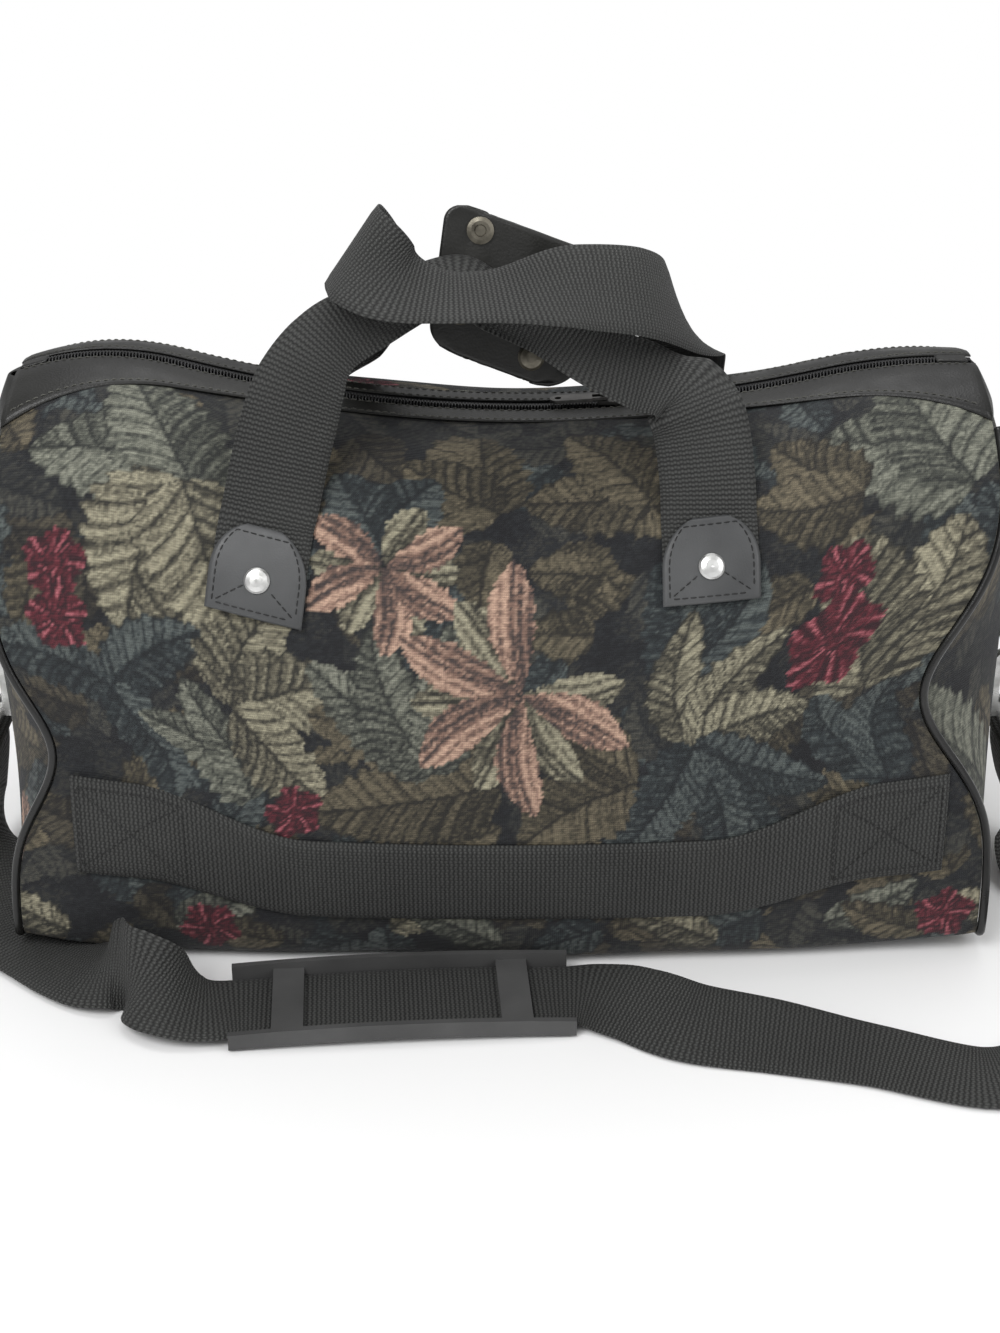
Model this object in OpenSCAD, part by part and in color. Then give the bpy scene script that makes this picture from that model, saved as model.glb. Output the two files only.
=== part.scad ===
// Tapestry carpet bag: a soft duffel with webbing handles, a two-way zip and a clip-on shoulder strap.
// The origin is on the floor under the middle of the bag. +X is to the right, +Y to the back.

/* [Body] */
// Length of the bag between the two end seams
body_l = 412; // [380:1:460]
// Depth of the bag at its fullest
body_d = 214; // [190:1:240]
// Height of the zip above the floor at its lowest
ridge_h = 218; // [205:1:235]
// How much the zip would rise to the end seams if it kept its curve
ridge_rise = 40; // [24:1:44]
// Thickness of the lined tapestry
wall = 2.4; // [1.6:0.1:3.2]
// How far the end panels swell past their seams
end_swell = 16; // [8:1:22]
// Thickness of the stiffener board inside the base
board_t = 2; // [1.5:0.1:4]
// Depth of the dent in the left end seams
dent_left = 22; // [0:1:26]
// Depth of the dent in the right end seams
dent_right = 34; // [0:1:36]

/* [Trim] */
// Diameter of the vinyl piping
piping_d = 3.6; // [2.4:0.1:5]
// Thickness of the vinyl zip trim and tabs
vinyl_t = 1.2; // [0.8:0.1:2]
// Width of the zip coil
coil_w = 4.4; // [3.6:0.1:4.6]
// Height of the zip coil
coil_h = 2.4; // [1.6:0.1:3]
// Thickness of the zip tape
tape_t = 0.8; // [0.5:0.1:1.2]

/* [Zip sliders] */
// Length of a slider body
slider_l = 13; // [10:0.5:16]
// Width of a slider body
slider_w = 9; // [8.4:0.2:12]
// Length of a pull tab
pull_l = 24; // [16:1:32]
// Width of a pull tab
pull_w = 7; // [5:0.5:9]
// Where the two closed sliders meet, measured from mid length
slider_x = 55; // [46:1:70]

/* [Webbing] */
// Width of the handle and strap webbing
web_w = 38; // [30:1:42]
// Thickness of the webbing
web_t = 1.6; // [1:0.1:2]
// Width of a handle tab
tab_w = 39; // [34:1:48]
// Height of a handle tab
tab_h = 34; // [26:1:40]
// Distance of each handle tab from mid length
tab_x = 91; // [80:1:96]
// Diameter of a rivet cap
rivet_d = 10.4; // [8:0.2:12]
// Length of the leather handle wrap
wrap_l = 92; // [80:1:100]
// Width of the opened handle wrap
wrap_w = 58; // [50:1:64]
// Thickness of the wrap leather
wrap_t = 1.8; // [1.2:0.1:2.4]
// Diameter of a snap
snap_d = 11; // [8:0.5:13]

/* [Strap hardware] */
// Wire diameter of the D-rings
ring_wire = 3.2; // [2.4:0.1:4]
// Inside width of the D-rings
ring_in = 26; // [22:1:30]
// Width of the webbing loop that holds a D-ring
loop_w = 24; // [16:1:25]
// Height of the D-ring pivots above the floor
ring_z = 116; // [105:1:125]
// Height of the opening inside a snap hook
hook_in = 22; // [18:0.5:26]
// Thickness of a snap hook
hook_t = 5; // [4:0.5:6]
// Outside width of a snap hook
hook_w = 18; // [16:0.5:20]
// Wire thickness of a snap hook's swivel eye
eye_t = 3.4; // [2.8:0.2:4]

/* [Shoulder pad] */
// Length of the moulded shoulder pad
pad_l = 142; // [110:1:150]
// Width of the moulded shoulder pad
pad_w = 46; // [45:1:50]
// Wall thickness of the shoulder pad
pad_t = 2.6; // [2:0.1:3.4]

/* [Hidden] */

// Clearance between a piece and what it is sewn to or rests on
seat = 0.3;
// Clearance round a pin that turns
run = 0.25;
// Allowance for the flats of a curved panel
facet = 0.25;
half_l = body_l / 2;
half_d = body_d / 2;
// Section of one side from base edge to zip, as shares of half depth and of ridge height
section = [[0.78, 0], [0.92, 0.036], [0.975, 0.187], [1, 0.435], [0.935, 0.679], [0.75, 0.862],
    [0.45, 0.962], [0.19, 0.994], [0.028, 1]];
// How far the ends taper in plan, low down and at the top
taper_low = 0.06;
taper_top = 0.2;
// How far the flat base is rounded off towards its corners
corner_round = 0.68;
// Height and spread of the seam dents on the left and right ends
dent_z = [95, 122];
dent_spread = [35, 40];
// How far the top corners are drawn in on the left and right ends
shoulder = [8, 14];
// Where the zip is lowest, where it turns down towards the ends, and by how much there
ridge_low_x = 10;
ridge_turn = 135;
ridge_drop = [28, 16];
// Height of the end panels' tops
end_top = ridge_h + 26;
arc_r = half_l * half_l / (2 * ridge_rise);
// Where the trim starts on the section at mid length, and how much wider it gets to the ends
trim_v = 0.895;
trim_flare = 0.15;
panel_top_v = 0.945;
tape_top_v = 1;
zip_end_v = 0.8;
rows = [for (i = [0:20]) i / 20];
columns = [for (i = [-14:14]) i / 14];

// Point at t on a smooth curve through the points of a list
function curve(p, t) =
    let (n = len(p) - 1, i = max(0, min(floor(t), n - 1)), f = t - i)
    let (a = p[max(i - 1, 0)], b = p[i], c = p[i + 1], d = p[min(i + 2, n)])
    0.5 * (2 * b + (c - a) * f + (2 * a - 5 * b + 4 * c - d) * f * f + (3 * b - a - 3 * c + d) * f * f * f);
function unit(a) = a / norm(a);
function ease(t) = let (s = max(0, min(1, t))) s * s * (3 - 2 * s);
function section_at(v) = let (p = curve(section, v * 8)) [p[0] * half_d, p[1] * ridge_h];
function side_of(x) = x < 0 ? 0 : 1;
// Distance of an end seam from mid length at height z; side 0 is the left end, 1 the right
function seam_x(z, side) =
    half_l - [dent_left, dent_right][side] * exp(-pow((z - dent_z[side]) / dent_spread[side], 2))
    - shoulder[side] * pow(z / end_top, 6);
function taper(u, v) =
    1 - (taper_low + (taper_top - taper_low) * ease(v / 0.4)) * u * u
    - corner_round * pow(abs(u), 6) * pow(max(0, 1 - 8 * v), 2);
function ridge_lift(x, z) =
    let (past = max(0, abs(x) - ridge_turn) / (half_l - ridge_turn))
    (pow(x - ridge_low_x, 2) / (2 * arc_r) - ridge_drop[side_of(x)] * past * past) * pow(z / ridge_h, 4);
function corner_lift(u, v) = 4 * pow(u, 6) * 8 * v * exp(1 - 8 * v);
// Outside of the front at u across and v up, and its mirror image at the back
function front(u, v) =
    let (p = section_at(v), x = seam_x(p[1], side_of(u)) * u)
    [x, -p[0] * taper(u, v), p[1] + ridge_lift(x, p[1]) + corner_lift(u, v)];
function back(u, v) = let (p = front(-u, v)) [p[0], -p[1], p[2]];
// The same surfaces by distance from mid length
function across(x, v) = x / seam_x(section_at(v)[1], side_of(x));
front_at = function(x, v) front(across(x, v), v);
function end_swell_at(z) =
    let (s = sin(180 * min(1, z / end_top))) end_swell * (z < end_top / 2 ? s : sqrt(max(0, s)));
function end_mid_x(side, z) =
    half_l - shoulder[side] * pow(z / end_top, 6) + end_swell_at(z);
// Outside of an end panel at u from front to back and v up
function end_point(side, u, v) =
    let (e = 0.004, s = side == 0 ? -1 : 1, p = front(s, v))
    let (t = front(s, min(1, v + e)) - front(s, max(0, v - e)), n = unit([t[2], -t[1]]))
    let (y = p[1] + n[0] * (wall + 2 * seat), z = p[2] + n[1] * (wall + 2 * seat), bulge = 1 - u * u)
    [s * (abs(p[0]) * (1 - bulge) + end_mid_x(side, z) * bulge), -y * u, z];
// Point of a surface moved out along its normal
function normal_of(s, u, v) =
    let (e = 0.003, a = s(u + e, v) - s(u - e, v), b = s(u, min(1, v + e)) - s(u, max(0, v - e)))
    unit(cross(a, b));
function lifted(s, u, v, h) = s(u, v) + normal_of(s, u, v) * h;

// Solid sheet over a grid of a surface, between two distances along its normal
module sheet(s, us, vs, low, high) {
    nu = len(us);
    nv = len(vs);
    normals = [for (u = us) for (v = vs) normal_of(s, u, v)];
    base = [for (u = us) for (v = vs) s(u, v)];
    count = nu * nv;
    points = concat([for (i = [0:count - 1]) base[i] + normals[i] * high],
        [for (i = [0:count - 1]) base[i] + normals[i] * low]);
    function at(i, j) = i * nv + j;
    function quad(a, b, c, d) = [[a, b, c], [a, c, d]];
    skin = [for (i = [0:nu - 2]) for (j = [0:nv - 2])
        each quad(at(i, j), at(i, j + 1), at(i + 1, j + 1), at(i + 1, j))];
    lining = [for (f = skin) [f[2] + count, f[1] + count, f[0] + count]];
    rim_u = [for (i = [0:nu - 2]) each concat(
        quad(at(i, 0), at(i + 1, 0), at(i + 1, 0) + count, at(i, 0) + count),
        quad(at(i + 1, nv - 1), at(i, nv - 1), at(i, nv - 1) + count, at(i + 1, nv - 1) + count))];
    rim_v = [for (j = [0:nv - 2]) each concat(
        quad(at(0, j + 1), at(0, j), at(0, j) + count, at(0, j + 1) + count),
        quad(at(nu - 1, j), at(nu - 1, j + 1), at(nu - 1, j + 1) + count, at(nu - 1, j) + count))];
    polyhedron(points, concat(skin, lining, rim_u, rim_v), convexity = 10);
}
// Solid swept through closed sections with equal numbers of points
module loft(sections) {
    n = len(sections);
    m = len(sections[0]);
    // Opposite sides are split along matching diagonals, so that a twisted ribbon keeps its thickness
    sides = [for (i = [0:n - 2]) for (j = [0:m - 1])
        let (k = (j + 1) % m, a = i * m + j, b = i * m + k, c = b + m, d = a + m)
        each j < m / 2 ? [[a, b, c], [a, c, d]] : [[a, b, d], [b, c, d]]];
    first = [for (j = [1:m - 2]) [0, j + 1, j]];
    last = [for (j = [1:m - 2]) [(n - 1) * m, (n - 1) * m + j, (n - 1) * m + j + 1]];
    polyhedron([for (s = sections) each s], concat(sides, first, last), convexity = 10);
}
// Flat webbing along stations of [place, width direction], the direction one long at full width
module ribbon(stations, width, thick, steps) {
    n = len(stations) - 1;
    place = [for (s = stations) s[0]];
    facing = [for (s = stations) s[1]];
    loft([for (i = [0:n * steps])
        let (t = i / steps, p = curve(place, t))
        let (ahead = unit(curve(place, min(n, t + 0.02)) - curve(place, max(0, t - 0.02))))
        let (raw = curve(facing, t), flat = raw - ahead * (raw * ahead))
        let (w = unit(flat) * width / 2, h = cross(ahead, unit(flat)) * thick / 2)
        [p - w - h, p - w + h, p + w + h, p + w - h]]);
}
// Round cord along a list of points
module rope(path, d, sides) {
    n = len(path);
    loft([for (i = [0:n - 1])
        let (t = unit(path[min(n - 1, i + 1)] - path[max(0, i - 1)]))
        let (a = unit(cross(t, abs(t[0]) > 0.8 ? [0, 1, 0] : [1, 0, 0])), b = cross(t, a))
        [for (k = [0:sides - 1]) path[i] + (a * cos(k * 360 / sides) - b * sin(k * 360 / sides)) * d / 2]]);
}
// Turns the Z axis to a direction
module facing(to) {
    angle = acos(max(-1, min(1, unit(to)[2])));
    axis = cross([0, 0, 1], to);
    rotate(a = angle, v = norm(axis) < 1e-6 ? [1, 0, 0] : axis) children();
}

// The tapestry panels, with open edges where the seams are
front_skin = function(u, v) front(u, v);
back_skin = function(u, v) back(u, v);
module front_panel() {
    color("#3d3d36") sheet(front_skin, columns, rows * panel_top_v, -wall, 0);
}
module back_panel() {
    color("#3d3d36") sheet(back_skin, columns, rows * panel_top_v, -wall, 0);
}
base_outline = [for (u = columns) let (p = lifted(front_skin, u, 0, -wall)) [u * half_l, -p[1] - seat]];
module base_panel() {
    color("#3d3d36") linear_extrude(wall)
        polygon(concat(base_outline,
            [for (i = [len(columns) - 1:-1:0]) [base_outline[i][0], -base_outline[i][1]]]));
}
// Distance of the board from the end seams
board_inset = 48;
board_l = body_l - 2 * board_inset;
board_w = 1.2 * half_d;
module base_board() {
    color("#6b5a40") translate([-board_l / 2, -board_w / 2, wall + seat]) cube([board_l, board_w, board_t]);
}
function end_skin(side) = side == 0
    ? function(u, v) end_point(0, -u, v)
    : function(u, v) end_point(1, u, v);
end_columns = [for (i = [-6:6]) i / 6];
module end_panel(side) {
    color("#3d3d36") sheet(end_skin(side), end_columns, rows * zip_end_v, -wall, 0);
}
module end_panel_left() { end_panel(0); }
module end_panel_right() { end_panel(1); }

// Piping along a seam, from just above the floor to the trim
piping_rows = concat([0.07], [for (v = rows * panel_top_v) if (v > 0.09 && v < trim_v - trim_flare - 0.02) v],
    [trim_v - trim_flare - 0.012]);
function piping_at(side, v) =
    let (u = side == 0 ? -1 : 1, e = 0.004, t = front(u, v + e) - front(u, v - e))
    let (out = unit(cross(t, normal_of(front_skin, u * 0.999, v))) * u)
    front(u, v) + out * (piping_d / 2 + seat);
module piping(side, rear) {
    path = [for (v = piping_rows) piping_at(side, v)];
    color("#111111") mirror([0, rear ? 1 : 0, 0]) rope(path, piping_d, 6);
}
module piping_front_left() { piping(0, false); }
module piping_front_right() { piping(1, false); }
module piping_back_left() { piping(0, true); }
module piping_back_right() { piping(1, true); }

// Vinyl trim beside the zip, wider towards the ends, over the edge of the panel
trim_top_v = 0.968;
function trim_foot(u) = trim_v - trim_flare * pow(abs(u), 3);
function trim_skin(s) = function(u, w) s(u, trim_foot(u) + (trim_top_v - trim_foot(u)) * w);
trim_rows = [for (i = [0:5]) i / 5];
module zip_trim_front() {
    color("#1e1e1a") sheet(trim_skin(front_skin), columns, trim_rows, seat, seat + vinyl_t);
}
module zip_trim_back() {
    color("#1e1e1a") sheet(trim_skin(back_skin), columns, trim_rows, seat, seat + vinyl_t);
}
tape_rows = [panel_top_v + 0.006, tape_top_v];
module zip_tape_front() {
    color("#15151a") sheet(front_skin, columns, tape_rows, -tape_t, 0);
}
module zip_tape_back() {
    color("#15151a") sheet(back_skin, columns, tape_rows, -tape_t, 0);
}
// The closed coil follows the sagging ridge from end to end
function ridge_z(x) = ridge_h + ridge_lift(x, ridge_h);
coil_x = [-seam_x(ridge_h, 0) + 2, seam_x(ridge_h, 1) - 2];
function coil_section(x) =
    [for (p = [[-0.5, -0.5], [-0.5, 0.1], [-0.28, 0.5], [0.28, 0.5], [0.5, 0.1], [0.5, -0.5]])
        [x, p[0] * coil_w, ridge_z(x) + p[1] * coil_h]];
module zip_coil() {
    color("#0c0c0e") loft([for (i = [0:40]) coil_section(coil_x[0] + (coil_x[1] - coil_x[0]) * i / 40)]);
}
// Vinyl caps that carry the zip's ends over the tops of the end panels
cap_rows = [for (i = [0:4]) zip_end_v - 0.05 + (0.97 - zip_end_v + 0.05) * i / 4];
module zip_end(side) {
    color("#1e1e1a") sheet(end_skin(side), end_columns, cap_rows, seat, seat + vinyl_t);
}
module zip_end_left() { zip_end(0); }
module zip_end_right() { zip_end(1); }

// Sliders ride the coil on the arc of the ridge; each is drawn at the lowest point and turned to its place
slider_gap = 1;
slider_lift = ridge_h + coil_h / 2 + run;
slider_plate = 1.6;
bridge_h = 4.2;
bridge_d = 1.6;
pull_eye = 3.4;
function slider_angle(side) =
    asin((slider_x - ridge_low_x + (side == 0 ? -1 : 1) * (slider_l + slider_gap) / 2) / arc_r);
module on_ridge(side) {
    translate([ridge_low_x, 0, ridge_h + arc_r]) rotate([0, -slider_angle(side), 0])
        translate([0, 0, -ridge_h - arc_r]) mirror([side == 0 ? 0 : 1, 0, 0]) children();
}
module slider(side) {
    color("#55504a") on_ridge(side) {
        translate([-slider_l / 2, 0, slider_lift]) linear_extrude(slider_plate)
            polygon([[0, -slider_w * 0.32], [slider_l * 0.55, -slider_w / 2], [slider_l, -slider_w / 2],
                [slider_l, slider_w / 2], [slider_l * 0.55, slider_w / 2], [0, slider_w * 0.32]]);
        for (s = [-1, 1])
            translate([-slider_l * 0.45 + slider_l * 0.5, s * (slider_w / 2 - 0.6) - 0.6, slider_lift - 1.2])
                cube([slider_l * 0.45, 1.2, 1.2 + slider_plate / 2]);
        translate([0, bridge_d / 2, slider_lift + slider_plate - 0.4]) rotate([90, 0, 0])
            linear_extrude(bridge_d) difference() {
                translate([-slider_l * 0.4, 0]) square([slider_l * 0.75, bridge_h]);
                translate([-slider_l * 0.4 + bridge_d, -1])
                    square([slider_l * 0.75 - 2 * bridge_d, bridge_h - 0.4]);
            }
    }
}
module slider_left() { slider(0); }
module slider_right() { slider(1); }
// Pull tabs hang under the bridges by a cross bar and lie along the zip
pull_t = 1.4;
pull_x = -slider_l * 0.4 + bridge_d + pull_t / 2 + run;
pull_z = slider_lift + slider_plate + pull_t / 2 + run;
pull_frame = 7;
pull_frame_w = 5.4;
pull_slot_w = 3.2;
module pull(side) {
    color("#55504a") on_ridge(side) translate([pull_x, 0, pull_z]) {
        rotate([90, 0, 0]) cylinder(d = pull_t, h = pull_frame_w, center = true, $fn = 32);
        translate([0, 0, -pull_t / 2]) linear_extrude(pull_t) difference() {
            union() {
                translate([-pull_frame, -pull_frame_w / 2]) square([pull_frame, pull_frame_w]);
                translate([-pull_l + pull_w / 2, -pull_w / 2])
                    square([pull_l - pull_w / 2 - pull_frame + 1, pull_w]);
                translate([-pull_l + pull_w / 2, 0]) circle(d = pull_w, $fn = 48);
            }
            translate([-pull_frame + 1, -pull_slot_w / 2]) square([pull_frame - 1.2, pull_slot_w]);
            translate([-pull_l + pull_w / 2, 0]) circle(d = pull_w * 0.4, $fn = 32);
        }
    }
}
module pull_left() { pull(0); }
module pull_right() { pull(1); }

// Handle tabs: where each starts on the section, its shift from the even spacing and its tilt
tab_shift = [-7, -7];
tab_foot = [0.534, 0.555];
tab_tilt = [-8, 1];
v_per_mm = 0.01 / norm(section_at(0.585) - section_at(0.575));
// Places on a tab, b up from its foot and a to the right, in millimetres along the panel
function tab_place(side, a, b) =
    [(side == 0 ? -tab_x : tab_x) + tab_shift[side] + a * cos(tab_tilt[side]) - b * sin(tab_tilt[side]),
        tab_foot[side] + (a * sin(tab_tilt[side]) + b * cos(tab_tilt[side])) * v_per_mm];
function tab_point(side, a, b, h) =
    let (q = tab_place(side, a, b)) lifted(front_at, q[0], q[1], h);
web_mid = seat + facet / 2 + web_t / 2;
tab_low = 2 * seat + facet + web_t;
function tab_half(b) = tab_w / 2 * (b < 0.4 ? 1 : sqrt(1 - pow((b - 0.4) / 0.64, 2)));
module tab(side, rear) {
    skin = function(a, b) let (q = tab_place(side, a * tab_half(b), b * tab_h)) front_at(q[0], q[1]);
    color("#37373a") mirror([0, rear ? 1 : 0, 0])
        sheet(skin, [for (i = [-3:3]) i / 3], [for (i = [0:7]) i / 7], tab_low, tab_low + vinyl_t);
}
module tab_front_left() { tab(0, false); }
module tab_front_right() { tab(1, false); }
module tab_back_left() { tab(0, true); }
module tab_back_right() { tab(1, true); }
rivet_b = 0.4 * tab_h;
shank_r = 1.5;
washer_t = 0.8;
module rivet() {
    r = rivet_d / 2;
    deep = seat + vinyl_t + tab_low + wall + seat;
    rotate_extrude($fn = 48) polygon([[0, -deep - washer_t], [r * 0.8, -deep - washer_t], [r * 0.8, -deep],
        [shank_r, -deep], [shank_r, 0], [r, 0], [r, 0.4], [r * 0.85, 1.3], [r * 0.5, 2], [0, 2.2]]);
}
module tab_rivets() {
    color("#c8c8c6") for (rear = [0, 1], side = [0, 1]) mirror([0, rear, 0]) {
        q = tab_place(side, 0, rivet_b);
        translate(tab_point(side, 0, rivet_b, tab_low + vinyl_t + seat))
            facing(normal_of(front_at, q[0], q[1])) rivet();
    }
}

// The opened leather wrap hangs behind the front handle, its inner side to the front
wrap_at = [12, -16, ridge_h + 50];
wrap_lean = 14;
wrap_roll = 20;
wrap_round = 9;
// Shares of the wrap's length that its lower edge keeps, left and right of the middle
wrap_foot = [0.74, 0.5];
// Place on the wrap, a along it, b up it and h in front of it
function wrap_point(a, b, h) =
    let (x = a * cos(wrap_roll) + b * sin(wrap_roll), z = b * cos(wrap_roll) - a * sin(wrap_roll))
    wrap_at + [x, z * sin(wrap_lean) - h * cos(wrap_lean), z * cos(wrap_lean) + h * sin(wrap_lean)];
// The front handle leans with its back edge on the wrap
handle_off = wrap_t / 2 + seat + web_w / 2 * 0.85 + web_t / 2;
function wrap_station(a) =
    [wrap_point(a, -4 - 0.08 * a, handle_off), unit(wrap_point(0, -0.53, 0.85) - wrap_at)];
// Handles: the ends lie on the panels under the tabs, the free part is a hand-chosen route
function web_end(side, b, sign) =
    [tab_point(side, 0, b, web_mid),
        unit(tab_point(side, sign, b, 0) - tab_point(side, -sign, b, 0))];
left_end = [for (b = [3, 14, 25, 36]) web_end(0, b, 1)];
right_end = [for (b = [36, 25, 14, 3]) web_end(1, b, -1)];
// Station at x and y, at a height over the zip's lowest point, with its width direction
function above_ridge(x, y, rise, across) = [[x, y, ridge_h + rise], across];
front_free = [
    above_ridge(-91, -71.2, -13.4, [0.98, 0, -0.12]),
    above_ridge(-88, -64, 0, [0.97, 0, -0.2]),
    above_ridge(-84, -58, 15, [0.95, -0.1, -0.25]),
    above_ridge(-79, -53, 30, [0.82, -0.4, -0.35]),
    above_ridge(-71, -48, 43, [0.5, -0.75, -0.42]),
    above_ridge(-56, -42, 52, [0.2, -0.87, -0.45]),
    wrap_station(-34),
    wrap_station(-14),
    wrap_station(8),
    above_ridge(38, -40, 37, [-0.3, -0.9, -0.3]),
    above_ridge(60, -41, 28, [-0.8, -0.55, -0.1]),
    above_ridge(73, -45, 24, [-1, -0.1, 0]),
    above_ridge(78, -51, 18, [-1, 0, 0]),
    above_ridge(81, -55, 8.5, [-1, 0, 0]),
    above_ridge(83, -64, -7.5, [-1, 0, 0])];
back_free = [
    above_ridge(-88, 64, -5, [1, 0, -0.12]),
    above_ridge(-69, 38, 14, [1, 0, -0.05]),
    above_ridge(-52, 18, 28, [0.85, 0.25, 0.45]),
    above_ridge(-48, 5, 43, [0.75, 0.4, 0.5]),
    above_ridge(-52, -8, 62, [0.65, 0.4, 0.65]),
    above_ridge(-58, -26, 78, [0.6, 0.25, 0.75]),
    above_ridge(-56, -45, 80, [0.45, 0.4, 0.8]),
    above_ridge(-43, -57, 73, [0.1, 0.8, 0.6]),
    above_ridge(-25, -59, 68, [0, 0.96, 0.28]),
    above_ridge(-7, -58, 67, [0, 0.97, 0.22]),
    above_ridge(13, -55, 68, [0, 0.92, 0.4]),
    above_ridge(34, -46, 67, [-0.05, 0.75, 0.66]),
    above_ridge(60, -32, 60, [-0.12, 0.6, 0.78]),
    above_ridge(75, -4, 43, [-0.4, 0.35, 0.84]),
    above_ridge(79, 31, 15, [-1, 0.12, 0.1]),
    above_ridge(82, 62, -7.5, [-1, 0, 0])];
module front_handle() {
    color("#2b2b2d") ribbon(concat(left_end, front_free, right_end), web_w, web_t, 4);
}
function mirrored(s) = [for (q = s) [for (p = q) [p[0], -p[1], p[2]]]];
module back_handle() {
    color("#2b2b2d") ribbon(concat(mirrored(left_end), back_free, mirrored(right_end)), web_w, web_t, 4);
}

module on_wrap() {
    translate(wrap_at) rotate([-wrap_lean, 0, 0]) rotate([0, wrap_roll, 0]) rotate([90, 0, 0]) children();
}
module handle_wrap() {
    r = wrap_round;
    color("#1a1a17") on_wrap() linear_extrude(wrap_t, center = true) hull() for (s = [-1, 1]) {
        translate([s * (wrap_l / 2 - r), wrap_w / 2 - r]) circle(r, $fn = 32);
        translate([s * (wrap_l / 2 * wrap_foot[s < 0 ? 0 : 1] - r), -wrap_w / 2 + r]) circle(r, $fn = 32);
    }
}
// Snaps, in shares of the wrap's half length and width: two sockets above and two domed caps below
snap_places = [[-0.63, 0.74], [0.65, 0.74], [-0.56, -0.4], [0.17, -0.66]];
module snap(domed) {
    r = snap_d / 2;
    flange = 0.7;
    rotate_extrude($fn = 40) polygon(concat([[0, wrap_t / 2 + seat], [r, wrap_t / 2 + seat],
        [r, wrap_t / 2 + seat + flange]],
        domed ? [[r * 0.8, 2.8], [r * 0.4, 3.6], [0, 3.8]]
            : [[r * 0.7, 2.4], [r * 0.45, 2.4], [r * 0.4, 1.6], [0, 1.6]]));
    rotate_extrude($fn = 40) polygon([[0, wrap_t / 2 + seat + 0.1], [1.4, wrap_t / 2 + seat + 0.1],
        [1.4, -wrap_t / 2 - seat - 0.1], [0, -wrap_t / 2 - seat - 0.1]]);
    rotate_extrude($fn = 40) polygon([[0, -wrap_t / 2 - seat], [r, -wrap_t / 2 - seat],
        [r * 0.85, -wrap_t / 2 - seat - 0.9], [0, -wrap_t / 2 - seat - 0.9]]);
}
module wrap_snaps() {
    color("#4a463c") on_wrap() for (p = snap_places)
        translate([p[0] * wrap_l / 2, p[1] * wrap_w / 2, 0]) snap(p[1] < 0);
}

// Webbing sewn along the foot of each side, sagging towards mid length
base_strap_v = 0.262;
base_strap_sag = 0.045;
// Bare length of the panels beside the strap, both ends together
base_strap_gap = 46;
base_strap_l = body_l - base_strap_gap;
base_strap_x = 4;
module base_strap(rear) {
    half_v = web_w / 2 * 0.01 / norm(section_at(0.265) - section_at(0.255));
    skin = function(u, w) front_at(base_strap_x + u * base_strap_l / 2,
        base_strap_v + base_strap_sag * ease((abs(u) - 0.45) / 0.4) + half_v * (2 * w - 1));
    color("#2b2b2d") mirror([0, rear ? 1 : 0, 0])
        sheet(skin, columns, [for (i = [0:4]) i / 4], seat + facet, seat + facet + web_t);
}
module base_strap_front() { base_strap(false); }
module base_strap_back() { base_strap(true); }

// D-rings hang in webbing loops on the end panels; what follows is drawn for the right end
loop_r = ring_wire / 2 + run;
loop_tongue = 26;
function pivot_x(side) = end_mid_x(side, ring_z) + seat + loop_r + web_t;
ring_tilt = 16;
ring_leg = 5;
ring_r = (ring_in + ring_wire) / 2;
ring_drop = ring_leg + ring_r;
// Where the hook hangs on the ring wire, measured from the pivot
hook_x = ring_drop * sin(ring_tilt);
hook_z = -ring_drop * cos(ring_tilt);
module at_pivot(side) {
    mirror([side == 0 ? 1 : 0, 0, 0]) translate([pivot_x(side), 0, ring_z]) children();
}
module at_hook(side) {
    at_pivot(side) translate([hook_x, 0, hook_z]) children();
}
// Extrudes a shape drawn in x and z evenly about the middle plane
module flat_y(width) {
    rotate([90, 0, 0]) linear_extrude(width, center = true) children();
}
module ring_loop(side) {
    color("#2b2b2d") at_pivot(side) flat_y(loop_w) difference() {
        union() {
            circle(loop_r + web_t, $fn = 40);
            translate([-loop_r - web_t, 0]) square([web_t * 1.5, loop_tongue]);
        }
        circle(loop_r, $fn = 40);
    }
}
module ring_loop_left() { ring_loop(0); }
module ring_loop_right() { ring_loop(1); }
module d_ring(side) {
    color("#9a9a98") at_pivot(side) rotate([0, -ring_tilt, 0]) {
        rotate([90, 0, 0]) cylinder(d = ring_wire, h = 2 * ring_r, center = true, $fn = 32);
        for (s = [-1, 1]) translate([0, s * ring_r, 0]) {
            sphere(d = ring_wire, $fn = 32);
            translate([0, 0, -ring_leg]) cylinder(d = ring_wire, h = ring_leg, $fn = 32);
        }
        translate([0, 0, -ring_leg]) rotate([0, 90, 0]) rotate([0, 0, -90])
            rotate_extrude(angle = 180, $fn = 64) translate([ring_r, 0]) circle(d = ring_wire, $fn = 32);
    }
}
module d_ring_left() { d_ring(0); }
module d_ring_right() { d_ring(1); }

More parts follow.
